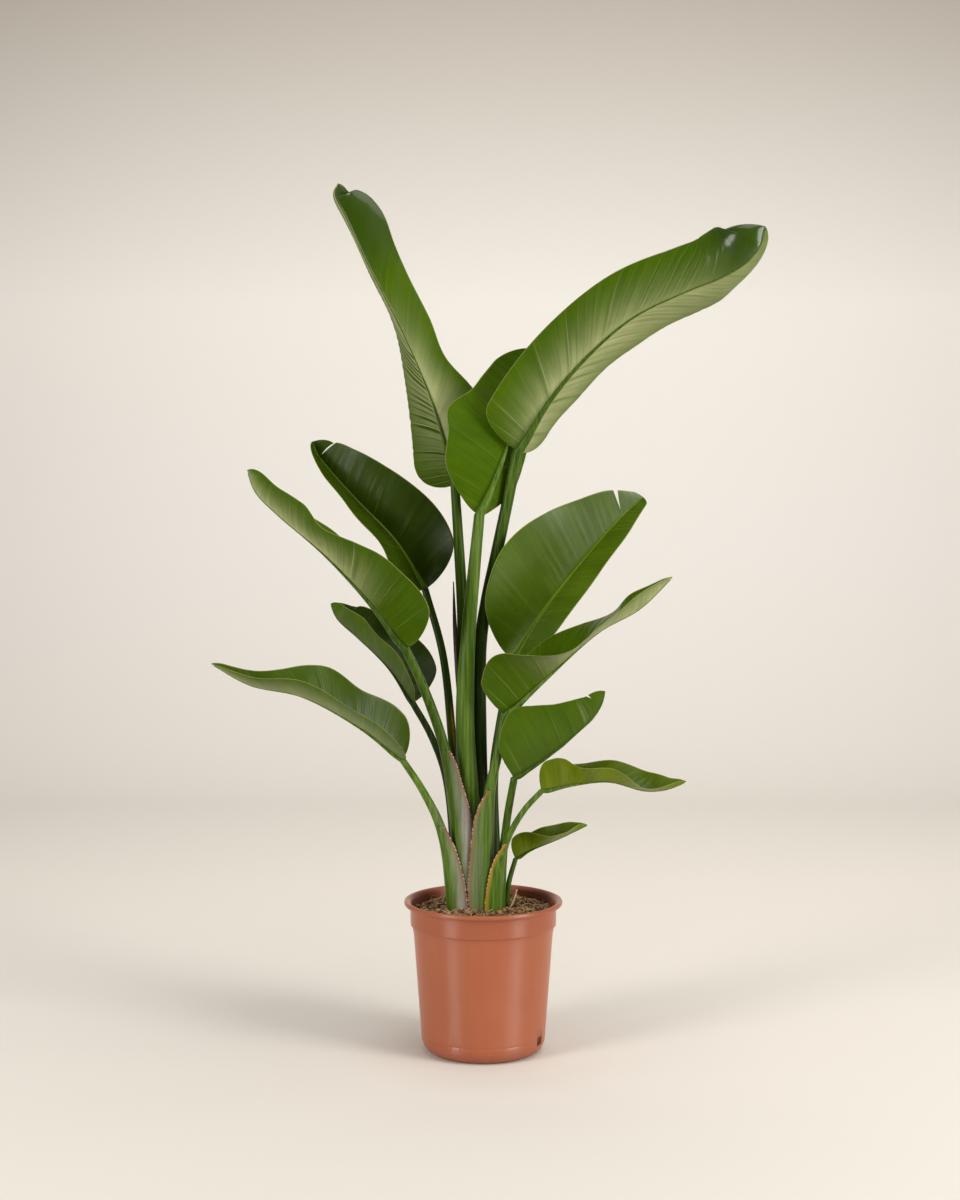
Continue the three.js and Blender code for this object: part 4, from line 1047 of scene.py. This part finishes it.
def vein_streaks(place, vein, span):
    """Streaks from 0 to 1 that run with the side veins."""
    along_veins = place.node("ShaderNodeCombineXYZ", {}, {"X": vein * 1.6, "Y": span * 0.012})
    return along_veins.noise(1.0, 4.0, 0.6).step(0.3, 0.7)


def leaf_finishes(name, sheen, deep, fresh, under_green, under_fresh, bloom_grey):
    """Upper side and underside finish of one tone of leaf; sheen is how much the upper side mirrors. Colour and shine
    change with the marks on the blade: rib (distance from it in rib radii), span (in mm), edge (mm from the margin),
    vein (one step a side vein), lines (how plainly the veins show), bloom (grey wax) and gloss (bare shiny skin on a
    rolled tip, where the colour is also painted darker: painted shade). On the underside a dark band beside each vein
    line is painted shade of the pleat."""
    upper, place = start_finish(name + "_upper_side")
    rib, span, edge, vein, lines, gloss = place.marks("rib span edge vein lines gloss")
    streaks = vein_streaks(place, vein, span)
    patchy = place.noise(12.0, 2.0).step(0.3, 0.7)
    line = (vein.part() - 0.5).absolute().step(0.44, 0.5) * lines * span.step(12.0, 70.0, 1.0, 0.35)
    fine = (vein * (2 * math.pi * FINE_LINES)).sine()
    broken = place.noise(60.0, 2.0).step(0.35, 0.65)
    colour = (streaks * 0.4 + patchy * 0.6).between(deep, fresh)
    # Painted shade: the colour is painted darker where the gloss mark is.
    colour = (gloss * 0.8).between(colour, tuple(0.35 * value for value in deep))
    colour = (line * (0.35 + broken * 0.6)).between(colour, RIB_GREEN)
    colour = (fine.step(0.2, 1.0) * lines * 0.12).between(colour, under_fresh)
    colour = rib.step(1.0, 1.6, 0.9, 0.0).between(colour, RIB_GREEN)
    colour = edge.step(0.5, 1.4, 0.7, 0.0).between(colour, MARGIN_CREAM)
    end_finish(place, {
        "Base Color": colour,
        "Roughness": 0.24 + streaks * 0.05,
        "Normal": (fine * 0.1 + line * 0.6).bump(0.0004, 0.5),
        "Specular IOR Level": sheen,
        "Coat Weight": gloss * 0.4,
        "Coat Roughness": 0.16,
    })
    under, place = start_finish(name + "_underside")
    span, edge, vein, lines, bloom, gloss = place.marks("span edge vein lines bloom gloss")
    streaks = vein_streaks(place, vein, span)
    patchy = place.noise(10.0, 2.0).step(0.3, 0.7)
    line = (vein.part() - 0.5).absolute().step(0.45, 0.5) * lines
    # Painted shade: a dark band beside each vein line, where the pleat lies in shade.
    painted_groove_shade = ((vein + 0.16).part() - 0.5).absolute().step(0.26, 0.5) * lines
    fine = (vein * (2 * math.pi * FINE_LINES)).sine()
    mottled = place.noise(30.0, 3.0).step(0.25, 0.7)
    colour = (streaks * 0.6 + patchy * 0.4).between(under_green, under_fresh)
    colour = (bloom * (0.65 + mottled * 0.15 + streaks * 0.20)).between(colour, bloom_grey)
    colour = (painted_groove_shade * 0.70).between(colour, deep)
    colour = (line * 0.60).between(colour, bloom_grey)
    colour = (fine.step(0.0, 1.0) * lines * 0.18).between(colour, deep)
    # Painted shade: the colour is painted darker where the gloss mark is.
    colour = (gloss * 0.8).between(colour, tuple(0.55 * value for value in under_green))
    colour = edge.step(0.4, 1.3, 0.6, 0.0).between(colour, MARGIN_CREAM)
    end_finish(place, {
        "Base Color": colour,
        "Roughness": 0.34 + bloom * 0.22,
        "Normal": (fine * 0.3 + line * 1.0).bump(0.0005, 0.6),
        "Specular IOR Level": 0.07,
        "Coat Weight": gloss * 0.6,
        "Coat Roughness": 0.17,
    })
    return [upper, under]


# The next colour is painted shade for the petioles.
STEM_PAINTED_SHADE = (0.010, 0.020, 0.003)
WAX_LILAC = (0.215, 0.190, 0.165)
WAX_SILVER = (0.31, 0.31, 0.24)
BLUSH_LILAC = (0.210, 0.095, 0.090)
BLUSH_BROWN = (0.430, 0.230, 0.020)
DRY_RED = (0.095, 0.035, 0.022)
FLECK_CREAM = (0.55, 0.44, 0.27)


def stem_finish(name, green, fresh):
    """Petiole, rib and sheath skin: lengthwise streaks, and painted shade that makes it darker where it stands in the
    middle of the shoot (mark gloss); low down a silver-lilac wax bloom (mark bloom). Beside the free margin of a
    sheath (mark edge, mm from it) it is lilac or warm brown (mark warm), and the margin itself is a dry red-brown line
    with cream flecks."""
    stem, place = start_finish(name)
    edge, warm, bloom, shade = place.marks("edge warm bloom gloss")
    streaks = place.stretched((260.0, 260.0, 6.0)).noise(1.0, 3.0).step(0.3, 0.7)
    blotches = place.stretched((70.0, 70.0, 16.0)).noise(1.0, 3.0).step(0.25, 0.6)
    silver = place.stretched((150.0, 150.0, 9.0)).noise(1.0, 2.0).step(0.35, 0.65)
    colour = streaks.between(green, fresh)
    # Painted shade: the petiole is painted darker by the shade it carries in the gloss mark.
    colour = (shade * 0.9).between(colour, STEM_PAINTED_SHADE)
    colour = (bloom * (0.45 + blotches * 0.55)).between(colour, silver.between(WAX_LILAC, WAX_SILVER))
    blush = warm.between(BLUSH_LILAC, BLUSH_BROWN)
    colour = edge.step(1.0, 8.0, 0.85, 0.0).between(colour, blush)
    colour = edge.step(0.7, 1.6, 0.9, 0.0).between(colour, DRY_RED)
    flecks = place.stretched((30.0, 30.0, 330.0)).noise(1.0, 1.0).step(0.50, 0.58)
    colour = (edge.step(0.9, 1.5, 1.0, 0.0) * flecks).between(colour, FLECK_CREAM)
    end_finish(place, {
        "Base Color": colour,
        "Roughness": 0.30 + streaks * 0.08 + bloom * 0.15,
        "Normal": streaks.bump(0.0004, 0.35),
        "Specular IOR Level": 0.14,
    })
    return stem


# leaf_dark is the leaf green with painted shade on its upper side, for the leaves that stand in shade.
leaf_tones = {
    "leaf": leaf_finishes("leaf_green", 0.26, (0.040, 0.078, 0.001), (0.072, 0.128, 0.004),
                          (0.036, 0.080, 0.001), (0.062, 0.114, 0.002), (0.40, 0.42, 0.20)),
    "leaf_dark": leaf_finishes("leaf_dark_green", 0.12, (0.020, 0.038, 0.001), (0.036, 0.066, 0.003),
                               (0.036, 0.076, 0.001), (0.060, 0.108, 0.002), (0.30, 0.29, 0.14)),
    "leaf_light": leaf_finishes("leaf_light_green", 0.26, (0.055, 0.090, 0.001), (0.095, 0.145, 0.002),
                                (0.085, 0.125, 0.001), (0.160, 0.215, 0.003), (0.30, 0.34, 0.09)),
}
# bright is the petiole green with painted light, and dark is it with painted shade; plain is its own colour.
stem_tones = {
    "plain": stem_finish("petiole_green", (0.028, 0.062, 0.003), (0.070, 0.128, 0.008)),
    "bright": stem_finish("petiole_painted_light", (0.042, 0.092, 0.006), (0.120, 0.200, 0.025)),
    "dark": stem_finish("petiole_painted_shade", (0.010, 0.019, 0.002), (0.028, 0.050, 0.006)),
}

inner_stems = []
layers = 0
for leaf in LEAVES:
    stem_points, stem_middle, stem_radius, stalk_rings = stem_shape(leaf)
    stem_points = clear_of(stem_points, inner_stems)
    inner_stems.append((stem_middle[:stalk_rings], stem_radius[:stalk_rings]))
    rings = stem_points.shape[0]
    stem_ends = np.array([stem_middle[0], stem_points[-1].mean(0)])
    surface, normal, out, blade_marks = blade_shape(leaf)
    thickness = MARGIN_THICKNESS + (BLADE_THICKNESS - MARGIN_THICKNESS) * (1 - out**2.5)
    blade_points, top, under, rim = closed_sheet(surface, normal, thickness)
    first = rings * STEM_SIDES + 2
    points = [stem_points.reshape(-1, 3), stem_ends, blade_points]
    faces = [*tube_faces(rings, STEM_SIDES), top + first, under + first, rim + first]
    patch = [np.full(len(f), k) for f, k in zip(faces, (2, 2, 2, 0, 1, 1))]
    warm, flap_wax, stem_wax = leaf.get("skin", (0.0, 0.0, 0.0))
    beside = np.clip(0.4 + (stem_points[..., 0] - stem_middle[:, None, 0]) / 14, 0, 1)
    waxy = stem_wax * np.clip((WAX_TOP - stem_points[..., 2]) / WAX_FADE, 0, 1) * beside
    marks = {mark: [np.zeros(first), np.tile(values.ravel(), 2)] for mark, values in blade_marks.items()}
    marks["bloom"][0] = np.append(waxy, [0.0, 0.0])
    marks["edge"][0] = np.append(seam_distance(leaf, stem_points, stem_radius), [NO_EDGE, NO_EDGE])
    # Painted shade along the petiole, from the leaf's shade list, is held in the gloss mark.
    shade = np.zeros((rings, STEM_SIDES))
    shade[:stalk_rings] = keyed(leaf.get("shade", [0]), np.linspace(0, 1, stalk_rings))[:, None]
    marks["gloss"][0] = np.append(shade, [0.0, 0.0])
    marks["warm"] = [np.full(first + len(blade_points), warm)]
    if "sheath" in leaf:
        sheet, sheet_normal, edge, wax = sheath_shape(leaf, inner_stems, layers)
        layers += 1
        first += len(blade_points)
        thin = np.clip(0.35 + edge * 0.2, 0.35, 0.9)
        flap_points, top, under, rim = closed_sheet(sheet, sheet_normal, thin)
        count = len(flap_points)
        points.append(flap_points)
        faces += [top + first, under + first, rim + first]
        patch += [np.full(len(f), 2) for f in faces[-3:]]
        flap_marks = {
            "bloom": np.tile(flap_wax * wax.ravel(), 2), "edge": np.tile(edge.ravel(), 2),
            "warm": np.full(count, warm),
        }
        for mark in marks:
            marks[mark].append(flap_marks.get(mark, np.zeros(count)))
    marks = {mark: np.concatenate(values) for mark, values in marks.items()}
    finishes = [*leaf_tones[leaf.get("tone", leaf["kind"])], stem_tones[leaf["stem"]]]
    grown = make_mesh(leaf["name"] + "_grown", np.concatenate(points) * MM, faces, finishes,
                      np.concatenate(patch), marks)
    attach(grown, "root")
    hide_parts(leaf["name"])

# Youngest leaf: still rolled into a dark spear, which stands between the petioles on the left of the middle shoot.
SPEAR_PATH = [(-26, 2, 430), (-32, 3, 500), (-38, 4, 570), (-43, 6, 650), (-45, 8, 712)]
SPEAR_RADIUS = [4, 4, 4, 3.2, 0.8]
SPEAR_RINGS = 60
SPEAR_SIDES = 24
SPEAR_DARK = (0.020, 0.014, 0.010)
SPEAR_PALE = (0.060, 0.045, 0.024)
spear_skin, place = start_finish("rolled_leaf_skin")
streaks = place.stretched((300.0, 300.0, 8.0)).noise(1.0, 3.0).step(0.3, 0.7)
end_finish(place, {
    "Base Color": streaks.between(SPEAR_DARK, SPEAR_PALE),
    "Roughness": 0.42,
    "Normal": streaks.bump(0.0004, 0.5),
    "Specular IOR Level": 0.4,
})
spear_path = grown_path(SPEAR_PATH)
spear_s = np.linspace(0, 1, SPEAR_RINGS)
spear_middle, spear_heading = along_path(spear_path, spear_s)
spear_right, spear_front = axes_across(spear_heading)
roll = np.linspace(0, 2 * np.pi, SPEAR_SIDES, endpoint=False)
overlap = 1 + 0.16 * ((roll + 3.6) % (2 * np.pi)) / (2 * np.pi)
spear_angle = roll[None, :] + 0.8 * spear_s[:, None]
spear_r = keyed(SPEAR_RADIUS, spear_s)[:, None] * overlap[None, :] * 0.92
spear_spoke = toward(spear_right[:, None], spear_front[:, None], spear_angle)
spear_points = spear_middle[:, None] + spear_spoke * spear_r[..., None]
tall_left = [leaf["name"] for leaf in LEAVES].index("leaf_tall_left")
spear_points = clear_of(spear_points, [inner_stems[tall_left]])
spear_points = np.concatenate([spear_points.reshape(-1, 3), spear_middle[:1], spear_middle[-1:] + [[0, 0, 1.5]]])
spear = make_mesh("rolled_young_leaf_grown", spear_points * MM, tube_faces(SPEAR_RINGS, SPEAR_SIDES), [spear_skin])
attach(spear, "root")
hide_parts("rolled_young_leaf")
